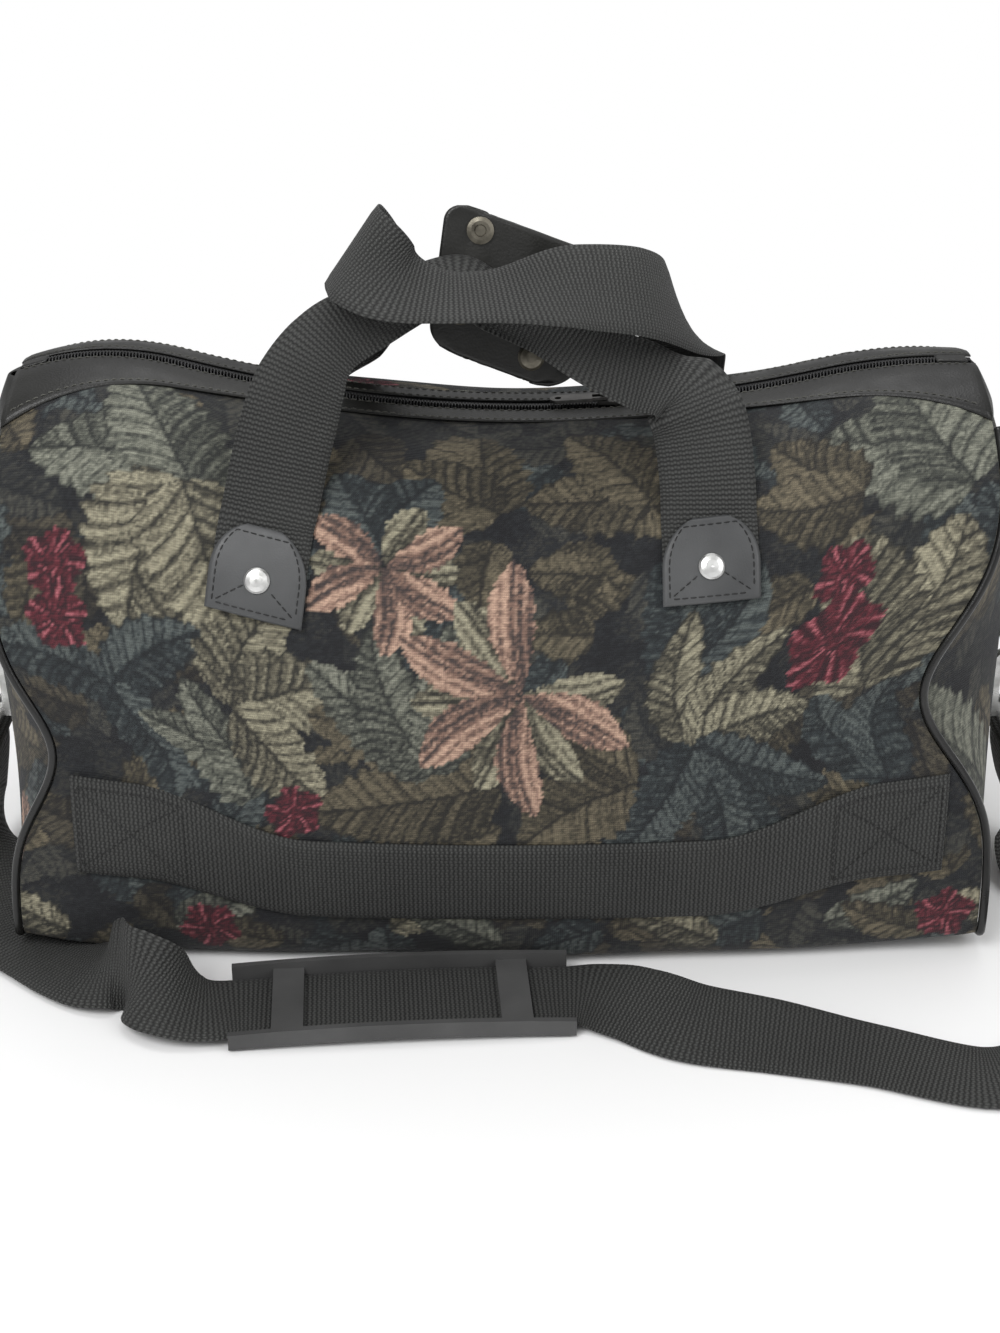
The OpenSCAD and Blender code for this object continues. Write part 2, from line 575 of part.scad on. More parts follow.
// Snap hook: a closed eye with a gate in its outer side and a bored foot for the swivel
hook_bar = 4.5;
hook_top = ring_wire / 2 + run;
hook_floor = hook_top - hook_in;
hook_foot = 7;
hook_bottom = hook_floor - hook_foot;
gate_t = 3;
gate_pin_d = 1.8;
gate_pin_x = hook_w / 2 - hook_bar / 2;
gate_pin_z = hook_floor + 4.5;
gate_top = -2.4;
cheek_t = 1.2;
stem_d = 4.4;
module hook(side) {
    inner_w = hook_w - 2 * hook_bar;
    color("#9a9a98") at_hook(side) difference() {
        union() {
            flat_y(hook_t) difference() {
                union() {
                    translate([0, hook_top + hook_bar - hook_w / 2]) circle(d = hook_w, $fn = 64);
                    translate([-hook_w / 2, hook_bottom])
                        square([hook_w, hook_top + hook_bar - hook_w / 2 - hook_bottom]);
                }
                translate([0, hook_top - inner_w / 2]) circle(d = inner_w, $fn = 48);
                translate([-inner_w / 2, hook_floor]) square([inner_w, hook_in - inner_w / 2]);
                translate([0, hook_floor + 1.6]) square([hook_w, gate_top + seat - hook_floor - 1.6]);
            }
            for (s = [-1, 1]) translate([0, s * (hook_t + cheek_t) / 2, 0]) flat_y(cheek_t)
                translate([gate_pin_x - hook_bar / 2, hook_floor - 3]) square([hook_bar, 3 + 4.5 + 2.4]);
        }
        translate([gate_pin_x, 0, gate_pin_z]) rotate([90, 0, 0])
            cylinder(d = gate_pin_d + 2 * run, h = 3 * hook_t, center = true, $fn = 32);
        translate([0, 0, hook_bottom - 1]) cylinder(d = stem_d + 2 * run, h = hook_foot + 2, $fn = 40);
    }
}
module hook_left() { hook(0); }
module hook_right() { hook(1); }
module hook_gate(side) {
    color("#b4b4b0") at_hook(side) translate([gate_pin_x, 0, gate_pin_z]) {
        flat_y(hook_t - 2 * seat) union() {
            circle(d = gate_t + 0.8, $fn = 40);
            translate([-gate_t / 2, 0]) square([gate_t, gate_top - gate_pin_z]);
        }
        rotate([90, 0, 0]) cylinder(d = gate_pin_d, h = hook_t + 2 * cheek_t, center = true, $fn = 32);
    }
}
module hook_gate_left() { hook_gate(0); }
module hook_gate_right() { hook_gate(1); }
// Swivel eye: a headed stem through the hook's foot and a flat frame for the webbing
eye_w = web_w + 2;
eye_slot = 5.4;
eye_top = hook_bottom - seat;
eye_low = eye_top - 2 * eye_t - eye_slot;
stem_head = 1.6;
module swivel_eye(side) {
    color("#9a9a98") at_hook(side) {
        translate([0, 0, eye_top - 1]) cylinder(d = stem_d, h = hook_floor + seat - eye_top + 1, $fn = 40);
        translate([0, 0, hook_floor + seat]) cylinder(d = stem_d + 2.4, h = stem_head, $fn = 40);
        rotate([90, 0, 90]) linear_extrude(eye_t, center = true) difference() {
            translate([-eye_w / 2 - eye_t, eye_low]) square([eye_w + 2 * eye_t, eye_top - eye_low]);
            translate([-eye_w / 2, eye_low + eye_t]) square([eye_w, eye_slot]);
        }
    }
}
module swivel_eye_left() { swivel_eye(0); }
module swivel_eye_right() { swivel_eye(1); }

// Shoulder pad: an arched tray with raised lips and two bars over the strap
pad_at = [-41, -131, 0];
pad_yaw = 4;
pad_arch = 2.2;
pad_clear = 1;
near_lip = 4.6;
far_lip = 7.6;
bar_w = 13;
bar_t = 2.2;
bar_a = 47;
function arch_z(a) = pad_clear + pad_arch * (1 - pow(2 * a / pad_l, 2));
module pad_slice(height) {
    steps = [for (i = [-12:12]) i / 24 * pad_l];
    polygon(concat([for (a = steps) [a, arch_z(a)]],
        [for (i = [12:-1:-12]) let (a = i / 24 * pad_l) [a, arch_z(a) + height]]));
}
module shoulder_pad() {
    bar_low = arch_z(bar_a) + pad_t + 2 * seat + web_t + 0.2;
    color("#4b4b4b") translate(pad_at) rotate([0, 0, pad_yaw]) {
        flat_y(pad_w) pad_slice(pad_t);
        translate([0, (pad_t - pad_w) / 2, 0]) flat_y(pad_t) pad_slice(pad_t + near_lip);
        translate([0, (pad_w - pad_t) / 2, 0]) flat_y(pad_t) pad_slice(pad_t + far_lip);
        for (s = [-1, 1]) translate([s * bar_a - bar_w / 2, -pad_w / 2, bar_low]) cube([bar_w, pad_w, bar_t]);
    }
}
// Shoulder strap from the right hook over the floor, through the pad and back to the left hook
function pad_station(a) =
    [pad_at + [a * cos(pad_yaw), a * sin(pad_yaw), arch_z(a) + pad_t + web_mid],
        [-sin(pad_yaw), cos(pad_yaw), 0]];
// Straight fall of the strap under each hook
strap_lead = 10;
function strap_top(side, s, drop) =
    [[s * (pivot_x(side) + hook_x), 0, ring_z + hook_z + eye_low - seat - drop], [0, 1, 0]];
strap_right = [
    [[234, -4, 31], [0.1, 0.99, 0]],
    [[241, -15, 13], [0.45, 0.85, 0]],
    [[249, -42, 2.8], [0.95, 0.3, 0]],
    [[252, -85, 1.8], [1, 0, 0]],
    [[246, -130, 1.8], [0.93, 0.37, 0]],
    [[226, -164, 1.8], [0.5, 0.86, 0]],
    [[196, -177, 1.8], [0.2, 0.98, 0]],
    [[150, -163, 2.4], [0.2, 0.97, 0.05]],
    [[112, -155, 5.5], [0.12, 0.96, 0.24]],
    [[78, -149, 8], [0.05, 0.94, 0.34]],
    [[56, -136, 7.6], [0, 0.97, 0.24]],
    [[40, -128, 6], [-0.04, 0.99, 0.1]]];
strap_left = [
    [[-124, -138.5, 6.8], [-0.04, 0.99, 0.12]],
    [[-139, -138, 15], [-0.1, 0.76, 0.62]],
    [[-151, -131, 19.6], [-0.28, 0.55, 0.76]],
    [[-160, -121, 17], [-0.2, 0.78, 0.58]],
    [[-173, -114, 8], [0.25, 0.95, 0.18]],
    [[-192, -99, 2.8], [0.45, 0.89, 0]],
    [[-217, -75, 2.4], [0.75, 0.66, 0]],
    [[-233, -38, 4], [0.85, 0.5, 0]],
    [[-239, -13, 16], [0.45, 0.88, 0]],
    [[-234, -4, 31], [0.1, 0.99, 0]]];
module shoulder_strap() {
    on_pad = [for (a = [66, 40, 0, -40, -66]) pad_station(a)];
    first = [for (d = [0, strap_lead]) strap_top(1, 1, d)];
    last = [for (d = [strap_lead, 0]) strap_top(0, -1, d)];
    color("#2b2b2d") ribbon(concat(first, strap_right, on_pad, strap_left, last), web_w, web_t, 3);
}

front_panel();
back_panel();
base_panel();
base_board();
end_panel_left();
end_panel_right();
piping_front_left();
piping_front_right();
piping_back_left();
piping_back_right();
zip_trim_front();
zip_trim_back();
zip_tape_front();
zip_tape_back();
zip_coil();
zip_end_left();
zip_end_right();
slider_left();
slider_right();
pull_left();
pull_right();
front_handle();
back_handle();
tab_front_left();
tab_front_right();
tab_back_left();
tab_back_right();
tab_rivets();
handle_wrap();
wrap_snaps();
base_strap_front();
base_strap_back();
ring_loop_left();
ring_loop_right();
d_ring_left();
d_ring_right();
hook_left();
hook_right();
hook_gate_left();
hook_gate_right();
swivel_eye_left();
swivel_eye_right();
shoulder_strap();
shoulder_pad();
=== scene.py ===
"""Looks of the tapestry carpet bag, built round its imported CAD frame. Lengths in the code are millimetres."""
import math

import bpy
import numpy as np
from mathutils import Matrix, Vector


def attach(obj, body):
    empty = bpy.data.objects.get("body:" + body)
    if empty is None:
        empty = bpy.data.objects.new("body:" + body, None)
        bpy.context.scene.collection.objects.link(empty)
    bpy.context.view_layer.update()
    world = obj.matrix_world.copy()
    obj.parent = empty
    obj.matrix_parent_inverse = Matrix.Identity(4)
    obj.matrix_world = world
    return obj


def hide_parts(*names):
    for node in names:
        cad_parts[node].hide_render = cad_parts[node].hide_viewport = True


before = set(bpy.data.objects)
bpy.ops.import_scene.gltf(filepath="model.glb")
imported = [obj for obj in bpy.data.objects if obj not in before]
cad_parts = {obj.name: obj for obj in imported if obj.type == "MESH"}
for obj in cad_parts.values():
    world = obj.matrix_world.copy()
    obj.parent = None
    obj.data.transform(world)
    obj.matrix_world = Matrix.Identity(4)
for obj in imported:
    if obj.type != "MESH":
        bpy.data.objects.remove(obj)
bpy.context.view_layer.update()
MM = 0.001

# Camera at the photograph's height and distance
ELEVATION, DISTANCE, AIM = math.radians(27.5), 0.95, Vector((0, 0, 0.094))
camera = bpy.data.objects.new("camera", bpy.data.cameras.new("camera"))
camera.data.sensor_fit = "HORIZONTAL"
camera.data.lens = 75.6
camera.data.clip_start = 0.05
camera.location = AIM + DISTANCE * Vector((0, -math.cos(ELEVATION), math.sin(ELEVATION)))
camera.rotation_euler = (AIM - camera.location).to_track_quat("-Z", "Y").to_euler()
bpy.context.collection.objects.link(camera)
bpy.context.scene.camera = camera

# The bag's forms, as in the part's source; a pair of values is for the left and the right
HALF_L, HALF_D, RIDGE_H, END_TOP, END_SWELL, WALL = 206, 107, 218, 244, 16, 2.4
RIDGE_RISE, RIDGE_LOW_X, RIDGE_TURN, RIDGE_DROP = 40, 10, 135, np.array([28, 16])
ARC_R = HALF_L ** 2 / (2 * RIDGE_RISE)
TAPER_LOW, TAPER_RISE, CORNER_ROUND, CORNER_LIFT = 0.06, 0.14, 0.68, 4
SEAT, FACET, WEB_W, WEB_T, VINYL_T = 0.3, 0.25, 38, 1.6, 1.2
SECTION = np.array([[0.78, 0], [0.92, 0.036], [0.975, 0.187], [1, 0.435], [0.935, 0.679], [0.75, 0.862],
                    [0.45, 0.962], [0.19, 0.994], [0.028, 1]])
DENT, DENT_Z, DENT_SPREAD = np.array([22, 34]), np.array([95, 122]), np.array([35, 40])
SHOULDER = np.array([8, 14])
PANEL_TOP, END_PANEL_TOP, TRIM_V, TRIM_FLARE, TRIM_TOP = 0.945, 0.8, 0.895, 0.15, 0.968
TAB_SHIFT, TAB_FOOT, TAB_TILT, TAB_X, TAB_W, TAB_H = -7, (0.534, 0.555), (-8, 1), 91, 39, 34
PIPING_R, LOOP_R, LOOP_W = 1.8, 1.85, 24
# Heights up the panel of the middle of the tabs and of the base webbing
TAB_ARC, BASE_STRAP_ARC = 178, 66
# Names of the two ends, and the way out from the middle to each
SIDES, WAY = ("left", "right"), (-1, 1)


def both(*values):
    """The values as arrays of one shape."""
    return np.broadcast_arrays(*[np.asarray(v, float) for v in values])


def curve(points, t):
    """Places at t on a smooth curve through points."""
    p = np.asarray(points, float)
    t = np.asarray(t, float)
    n = len(p) - 1
    i = np.clip(np.floor(t), 0, n - 1).astype(int)
    f = (t - i)[..., None]
    a, b, c, d = p[np.maximum(i - 1, 0)], p[i], p[i + 1], p[np.minimum(i + 2, n)]
    return 0.5 * (2 * b + (c - a) * f + (2 * a - 5 * b + 4 * c - d) * f * f
                  + (3 * b - a - 3 * c + d) * f ** 3)


def unit(a):
    return a / np.maximum(np.linalg.norm(a, axis=-1, keepdims=True), 1e-9)


def ease(t):
    s = np.clip(t, 0, 1)
    return s * s * (3 - 2 * s)


def section_at(v):
    p = curve(SECTION, np.asarray(v, float) * (len(SECTION) - 1))
    return p[..., 0] * HALF_D, p[..., 1] * RIDGE_H


def seam_x(z, side):
    return (HALF_L - DENT[side] * np.exp(-((z - DENT_Z[side]) / DENT_SPREAD[side]) ** 2)
            - SHOULDER[side] * np.abs(z / END_TOP) ** 6)


def ridge_lift(x, z):
    past = np.maximum(0, np.abs(x) - RIDGE_TURN) / (HALF_L - RIDGE_TURN)
    drop = RIDGE_DROP[(np.asarray(x) >= 0).astype(int)]
    return ((x - RIDGE_LOW_X) ** 2 / (2 * ARC_R) - drop * past ** 2) * (z / RIDGE_H) ** 4


def smooth_front(u, v):
    """Outside of the front panel at u across and v up, without its folds."""
    u, v = both(u, v)
    d, z = section_at(v)
    x = seam_x(z, (u >= 0).astype(int)) * u
    taper = (1 - (TAPER_LOW + TAPER_RISE * ease(v / 0.4)) * u * u
             - CORNER_ROUND * np.abs(u) ** 6 * np.maximum(0, 1 - 8 * v) ** 2)
    lift = ridge_lift(x, z) + CORNER_LIFT * u ** 6 * 8 * v * np.exp(1 - 8 * v)
    return np.stack([x, -d * taper, z + lift], -1)


def normal_of(s, u, v, e=0.003):
    u, v = both(u, v)
    a = s(u + e, v) - s(u - e, v)
    b = s(u, np.minimum(1, v + e)) - s(u, np.maximum(0, v - e))
    return unit(np.cross(a, b))


def end_mid_x(side, z):
    s = np.maximum(0, np.sin(np.pi * np.minimum(1, z / END_TOP)))
    swell = END_SWELL * np.where(z < END_TOP / 2, s, np.sqrt(s))
    return HALF_L - SHOULDER[side] * np.abs(z / END_TOP) ** 6 + swell


# Length along the section at mid length, from the base edge up
V_TABLE = np.linspace(0, 1, 801)
D_TABLE, Z_TABLE = section_at(V_TABLE)
ARC_TABLE = np.concatenate([[0], np.cumsum(np.hypot(np.diff(D_TABLE), np.diff(Z_TABLE)))])


def arc_at(v):
    return np.interp(v, V_TABLE, ARC_TABLE)


def v_at(arc):
    return np.interp(arc, ARC_TABLE, V_TABLE)


def near(x, a, x0, a0, x1, a1):
    """Distance of (x, a) from a segment, and the place along it from 0 to 1."""
    dx, da = x1 - x0, a1 - a0
    t = np.clip(((x - x0) * dx + (a - a0) * da) / (dx * dx + da * da), 0, 1)
    return np.hypot(x - x0 - t * dx, a - a0 - t * da), t


def run_and_rise(length, turn):
    """How far a line of this length goes across and up at a turn in degrees from level."""
    return length * math.cos(math.radians(turn)), length * math.sin(math.radians(turn))


# Creases of the two panels: two ends by distance from mid length and length up the panel, width and depth
def crease_fan(side, z, turns, length, width, depth):
    """Creases that run in from the end seam at height z, one for each turn in degrees from level."""
    out = WAY[side]
    x, a = out * (float(seam_x(z, side)) - 3), float(np.interp(z, Z_TABLE, ARC_TABLE))
    lines = [run_and_rise(length, turn) for turn in turns]
    return [(x, a, x - out * run, a + rise, width, depth) for run, rise in lines]


FRONT_CREASES = (crease_fan(0, DENT_Z[0], (-38, 5), 90, 9, 3)
                 + crease_fan(1, DENT_Z[1], (-50, -15), 60, 8, 3.2)
                 + crease_fan(0, 190, (40, -20), 50, 9, 1.8) + crease_fan(1, 190, (50, -25), 50, 9, 1.8)
                 + crease_fan(0, 30, (20,), 60, 8, 2) + crease_fan(1, 30, (15,), 60, 8, 2))
BACK_CREASES = (crease_fan(0, DENT_Z[0], (-25, 15), 80, 9, 3) + crease_fan(1, DENT_Z[1], (-40, 0), 70, 8, 3)
                + crease_fan(0, 190, (30,), 55, 9, 1.8) + crease_fan(1, 190, (35, -30), 50, 9, 1.8))


def folds(x, a, creases):
    """How far a panel stands out or in, from its slow waves and its creases."""
    out = 0.9 * np.sin(x / 31 + 0.4) * np.sin(a / 47 + 0.8) + 0.5 * np.sin(x / 17 + a / 23)
    for x0, a0, x1, a1, width, depth in creases:
        r, t = near(x, a, x0, a0, x1, a1)
        fade = np.sin(np.pi * np.clip(t, 0.08, 0.92)) ** 0.7
        lips = 0.35 * np.exp(-((r - 2 * width) / width) ** 2)
        out = out - depth * fade * (np.exp(-(r / width) ** 2) - lips)
    return out


def calm(x, a):
    """1 where a panel is free to fold, 0 under the handle tabs and the base webbing."""
    free = np.ones_like(x)
    for middle in (TAB_SHIFT - TAB_X, TAB_SHIFT + TAB_X):
        free = free * (1 - np.exp(-(((x - middle) / 34) ** 4 + ((a - TAB_ARC) / 42) ** 4)))
    return free * (1 - 0.8 * np.exp(-((a - BASE_STRAP_ARC) / 30) ** 4))


def puckers(u, x, a):
    """Small gathers beside the piped seams and under the zip trim."""
    beside = np.exp(-((1 - np.abs(u) - 0.055) / 0.035) ** 2) * np.sin(a / 3.3 + 2 * np.sin(a / 19))
    under = arc_at(TRIM_V - TRIM_FLARE * np.abs(u) ** 3) - a
    return 0.6 * beside + 0.5 * np.exp(-((under - 7) / 5) ** 2) * np.sin(x / 3.9 + 1.7 * np.sin(x / 23))


def folded(u, v, creases):
    """Outside of the front panel with its folds and puckers."""
    p = smooth_front(u, v)
    x, a = p[..., 0], arc_at(np.broadcast_to(v, p.shape[:-1]))
    edge = np.clip((1 - np.abs(np.broadcast_to(u, x.shape))) * 12, 0, 1) * np.clip(a / 14, 0, 1)
    rise = (folds(x, a, creases) * calm(x, a) + puckers(u, x, a)) * edge
    return p + normal_of(smooth_front, u, v) * np.clip(rise, -6, 2.5)[..., None]


def mirror_y(p):
    return np.asarray(p) * np.array([1, -1, 1])


def front(u, v):
    return folded(u, v, FRONT_CREASES)


def back(u, v):
    return mirror_y(folded(-np.asarray(u, float), v, BACK_CREASES))


def smooth_back(u, v):
    return mirror_y(smooth_front(-np.asarray(u, float), v))


def end_point(side, u, v):
    e = 0.004
    s = WAY[side]
    u, v = both(u, v)
    seam_u = s * np.ones_like(v)
    p = smooth_front(seam_u, v)
    t = smooth_front(seam_u, np.minimum(1, v + e)) - smooth_front(seam_u, np.maximum(0, v - e))
    n = unit(np.stack([t[..., 2], -t[..., 1]], -1))
    off = WALL + 2 * SEAT
    y, z = p[..., 1] + n[..., 0] * off, p[..., 2] + n[..., 1] * off
    bulge = 1 - u * u
    return np.stack([s * (np.abs(p[..., 0]) * (1 - bulge) + end_mid_x(side, z) * bulge), -y * u, z], -1)


def end_skin(side):
    return lambda u, v: end_point(side, WAY[side] * np.asarray(u, float), v)


def across(x, v):
    return x / seam_x(section_at(v)[1], (np.asarray(x) >= 0).astype(int))


def smooth_front_at(x, v):
    return smooth_front(across(x, v), v)


def lifted(s, u, v, h):
    return s(u, v) + normal_of(s, u, v) * np.asarray(h, float)[..., None]


# Making of meshes
def joined(pieces):
    """One list of points and one of faces from many."""
    starts = np.cumsum([0] + [len(p) for p, _ in pieces[:-1]])
    faces = [[i + n for i in f] for n, (_, own) in zip(starts, pieces) for f in own]
    return np.concatenate([p for p, _ in pieces]), faces


def make(name, points, faces, material, body="bag", replaces=(), uv=None, colour=None):
    """A mesh piece from points in millimetres; uv and colour are per point."""
    mesh = bpy.data.meshes.new(name)
    mesh.from_pydata((np.asarray(points, float).reshape(-1, 3) * MM).tolist(), [], [list(f) for f in faces])
    mesh.polygons.foreach_set("use_smooth", [True] * len(mesh.polygons))
    if uv is not None:
        loops = np.empty(len(mesh.loops), int)
        mesh.loops.foreach_get("vertex_index", loops)
        layer = mesh.uv_layers.new(name="cloth")
        layer.data.foreach_set("uv", (np.asarray(uv, float).reshape(-1, 2)[loops] * MM).ravel())
    if colour is not None:
        layer = mesh.color_attributes.new("dye", "FLOAT_COLOR", "POINT")
        layer.data.foreach_set("color", np.concatenate([colour, np.ones((len(colour), 1))], 1).ravel())
    mesh.update()
    obj = bpy.data.objects.new(name, mesh)
    bpy.context.collection.objects.link(obj)
    mesh.materials.append(material)
    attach(obj, body)
    if replaces:
        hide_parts(*replaces)
    return obj


def quads(nu, nv, flip=False, start=0, wrap=False):
    """Faces of a grid of nu by nv points; wrap closes it in the second direction."""
    i, j = np.meshgrid(np.arange(nu - 1), np.arange(nv if wrap else nv - 1), indexing="ij")
    k = (j + 1) % nv
    f = np.stack([i * nv + j, (i + 1) * nv + j, (i + 1) * nv + k, i * nv + k], -1).reshape(-1, 4) + start
    return f[:, ::-1] if flip else f


def slab(s, us, vs, low, high):
    """Points and faces of a closed sheet over a surface, with softly rounded edges."""
    u, v = np.meshgrid(us, vs, indexing="ij")
    p, n = s(u, v), normal_of(s, u, v)
    nu, nv = u.shape
    rim = np.zeros((nu, nv))
    rim[0, :] = rim[-1, :] = 1
    rim[:, 0] = rim[:, -1] = 1
    top = p + n * (high - 0.35 * (high - low) * rim)[..., None]
    under = p + n * (low + 0.1 * (high - low) * rim)[..., None]
    faces = [quads(nu, nv), quads(nu, nv, True, nu * nv)]
    loop = [(i, 0) for i in range(nu)] + [(nu - 1, j) for j in range(1, nv)]
    loop += [(i, nv - 1) for i in range(nu - 2, -1, -1)] + [(0, j) for j in range(nv - 2, 0, -1)]
    index = np.array([i * nv + j for i, j in loop])
    nxt = np.roll(index, -1)
    faces.append(np.stack([index, index + nu * nv, nxt + nu * nv, nxt], -1))
    return np.concatenate([top.reshape(-1, 3), under.reshape(-1, 3)]), np.concatenate(faces)


def ribbon_frames(stations, steps):
    """Places, width directions and face normals along stations of [place, width direction]."""
    place = [s[0] for s in stations]
    facing = [s[1] for s in stations]
    n = len(stations) - 1
    t = np.linspace(0, n, n * steps + 1)
    p = curve(place, t)
    ahead = unit(curve(place, np.minimum(n, t + 0.02)) - curve(place, np.maximum(0, t - 0.02)))
    raw = curve(facing, t)
    w = unit(raw - ahead * np.sum(raw * ahead, -1, keepdims=True))
    return p, w, np.cross(ahead, w)


def steady(stations):
    """The same stations, with each width direction turned to the side of the one before it."""
    widths = ribbon_frames(stations, 1)[1]
    side, out = 1.0, [stations[0]]
    for i in range(1, len(stations)):
        side = side if np.dot(widths[i], widths[i - 1]) > 0 else -side
        out.append([stations[i][0], stations[i][1] * side])
    return out


def ribbon(stations, width, thick, steps, columns=10):
    """Points, faces and cloth coordinates of flat webbing with rounded selvedges."""
    p, w, h = ribbon_frames(stations, steps)
    a = np.linspace(-1, 1, columns)
    full = np.where(np.abs(a) > 0.99, 0.45, 1.0)
    side = np.concatenate([a, [1.012], a[::-1], [-1.012]])
    tall = np.concatenate([full, [0], -full[::-1], [0]])
    n, m = len(p), len(side)
    pts = (p[:, None] + w[:, None] * (side * width / 2)[None, :, None]
           + h[:, None] * (tall * thick / 2)[None, :, None])
    along = np.concatenate([[0], np.cumsum(np.linalg.norm(np.diff(p, axis=0), axis=1))])
    uv = np.stack(both((side * width / 2)[None, :], along[:, None]), -1)
    faces = [list(f) for f in quads(n, m, True, 0, True)]
    faces += [list(range(m)), list(range(n * m - 1, (n - 1) * m - 1, -1))]
    return pts, faces, uv


def tube(path, r, sides):
    """Points and faces of a round cord along a path."""
    path = np.asarray(path, float)
    t = unit(np.gradient(path, axis=0))
    a = unit(np.cross(t, np.where(np.abs(t[:, :1]) > 0.8, [[0, 1, 0]], [[1, 0, 0]])))
    b = np.cross(t, a)
    k = np.linspace(0, 2 * np.pi, sides, endpoint=False)
    pts = path[:, None] + r * (a[:, None] * np.cos(k)[None, :, None] + b[:, None] * np.sin(k)[None, :, None])
    faces = [list(f) for f in quads(len(path), sides, True, 0, True)]
    n = len(path)
    faces += [list(range(sides)), list(range(n * sides - 1, (n - 1) * sides - 1, -1))]
    return pts.reshape(-1, 3), faces


def stitches(points, normals, pitch=3.3, length=2.4, r=0.3):
    """Thread stitches along a line of points, each one dipping in at both of its ends."""
    along = np.concatenate([[0], np.cumsum(np.linalg.norm(np.diff(points, axis=0), axis=1))])
    pieces = []
    for start in np.arange(0.4, along[-1] - length, pitch):
        place = np.linspace(start, start + length, 4)
        p = np.stack([np.interp(place, along, points[:, k]) for k in range(3)], -1)
        n = np.stack([np.interp(place, along, normals[:, k]) for k in range(3)], -1)
        pieces.append(tube(p + n * np.array([-0.25, 0.16, 0.16, -0.25])[:, None], r, 6))
    return pieces


def seam(s, us, vs, h):
    """Stitches over a surface along the line of us and vs, at height h."""
    us, vs = both(us, vs)
    n = normal_of(s, us, vs)
    return stitches(s(us, vs) + n * h, n)


# Routes of the webbing, as in the part's source
V_PER_MM = 0.01 / np.hypot(*(np.array(section_at(0.585)) - np.array(section_at(0.575))))
WEB_MID = SEAT + FACET / 2 + WEB_T / 2
TAB_LOW = 2 * SEAT + FACET + WEB_T


def tab_place(side, a, b):
    t = math.radians(TAB_TILT[side])
    x = WAY[side] * TAB_X + TAB_SHIFT + a * math.cos(t) - b * math.sin(t)
    return x, TAB_FOOT[side] + (a * math.sin(t) + b * math.cos(t)) * V_PER_MM


def tab_point(side, a, b, h):
    x, v = tab_place(side, np.asarray(a, float), np.asarray(b, float))
    return lifted(smooth_front_at, x, v, np.asarray(h, float) * np.ones_like(x))


def web_end(side, b, sign):
    return [tab_point(side, 0, b, WEB_MID), unit(tab_point(side, sign, b, 0) - tab_point(side, -sign, b, 0))]


WRAP_AT, WRAP_LEAN, WRAP_ROLL = np.array([12, -16, RIDGE_H + 50]), math.radians(14), math.radians(20)
WRAP_L, WRAP_W, WRAP_T, WRAP_FOOT, WRAP_ROUND = 92, 58, 1.8, (0.74, 0.5), 9


def wrap_point(a, b, h):
    a, b, h = both(a, b, h)
    x = a * math.cos(WRAP_ROLL) + b * math.sin(WRAP_ROLL)
    z = b * math.cos(WRAP_ROLL) - a * math.sin(WRAP_ROLL)
    return WRAP_AT + np.stack([x, z * math.sin(WRAP_LEAN) - h * math.cos(WRAP_LEAN),
                               z * math.cos(WRAP_LEAN) + h * math.sin(WRAP_LEAN)], -1)


def wrap_station(a):
    off = WRAP_T / 2 + SEAT + WEB_W / 2 * 0.85 + WEB_T / 2
    return [wrap_point(a, -4 - 0.08 * a, off), unit(wrap_point(0, -0.53, 0.85) - WRAP_AT)]


def above_ridge(x, y, rise, facing):
    return [np.array([x, y, RIDGE_H + rise]), np.array(facing)]


LEFT_END = [web_end(0, b, 1) for b in (3, 14, 25, 36)]
RIGHT_END = [web_end(1, b, -1) for b in (36, 25, 14, 3)]
FRONT_ROUTE = LEFT_END + [
    above_ridge(-91, -71.2, -13.4, (0.98, 0, -0.12)),
    above_ridge(-88, -64, 0, (0.97, 0, -0.2)),
    above_ridge(-84, -58, 15, (0.95, -0.1, -0.25)),
    above_ridge(-79, -53, 30, (0.82, -0.4, -0.35)),
    above_ridge(-71, -48, 43, (0.5, -0.75, -0.42)),
    above_ridge(-56, -42, 52, (0.2, -0.87, -0.45)),
    wrap_station(-34), wrap_station(-14), wrap_station(8),
    above_ridge(38, -40, 37, (-0.3, -0.9, -0.3)),
    above_ridge(60, -41, 28, (-0.8, -0.55, -0.1)),
    above_ridge(73, -45, 24, (-1, -0.1, 0)),
    above_ridge(78, -51, 18, (-1, 0, 0)),
    above_ridge(81, -55, 8.5, (-1, 0, 0)),
    above_ridge(83, -64, -7.5, (-1, 0, 0))] + RIGHT_END
BACK_ROUTE = [[mirror_y(p), mirror_y(f)] for p, f in LEFT_END] + [
    above_ridge(-88, 64, -5, (1, 0, -0.12)),
    above_ridge(-69, 38, 14, (1, 0, -0.05)),
    above_ridge(-52, 18, 28, (0.85, 0.25, 0.45)),
    above_ridge(-48, 5, 43, (0.75, 0.4, 0.5)),
    above_ridge(-52, -8, 62, (0.65, 0.4, 0.65)),
    above_ridge(-58, -26, 78, (0.6, 0.25, 0.75)),
    above_ridge(-56, -45, 80, (0.45, 0.4, 0.8)),
    above_ridge(-43, -57, 73, (0.1, 0.8, 0.6)),
    above_ridge(-25, -59, 68, (0, 0.96, 0.28)),
    above_ridge(-7, -58, 67, (0, 0.97, 0.22)),
    above_ridge(13, -55, 68, (0, 0.92, 0.4)),
    above_ridge(34, -46, 67, (-0.05, 0.75, 0.66)),
    above_ridge(60, -32, 60, (-0.12, 0.6, 0.78)),
    above_ridge(75, -4, 43, (-0.4, 0.35, 0.84)),
    above_ridge(79, 31, 15, (-1, 0.12, 0.1)),
    above_ridge(82, 62, -7.5, (-1, 0, 0))] + [[mirror_y(p), mirror_y(f)] for p, f in RIGHT_END]

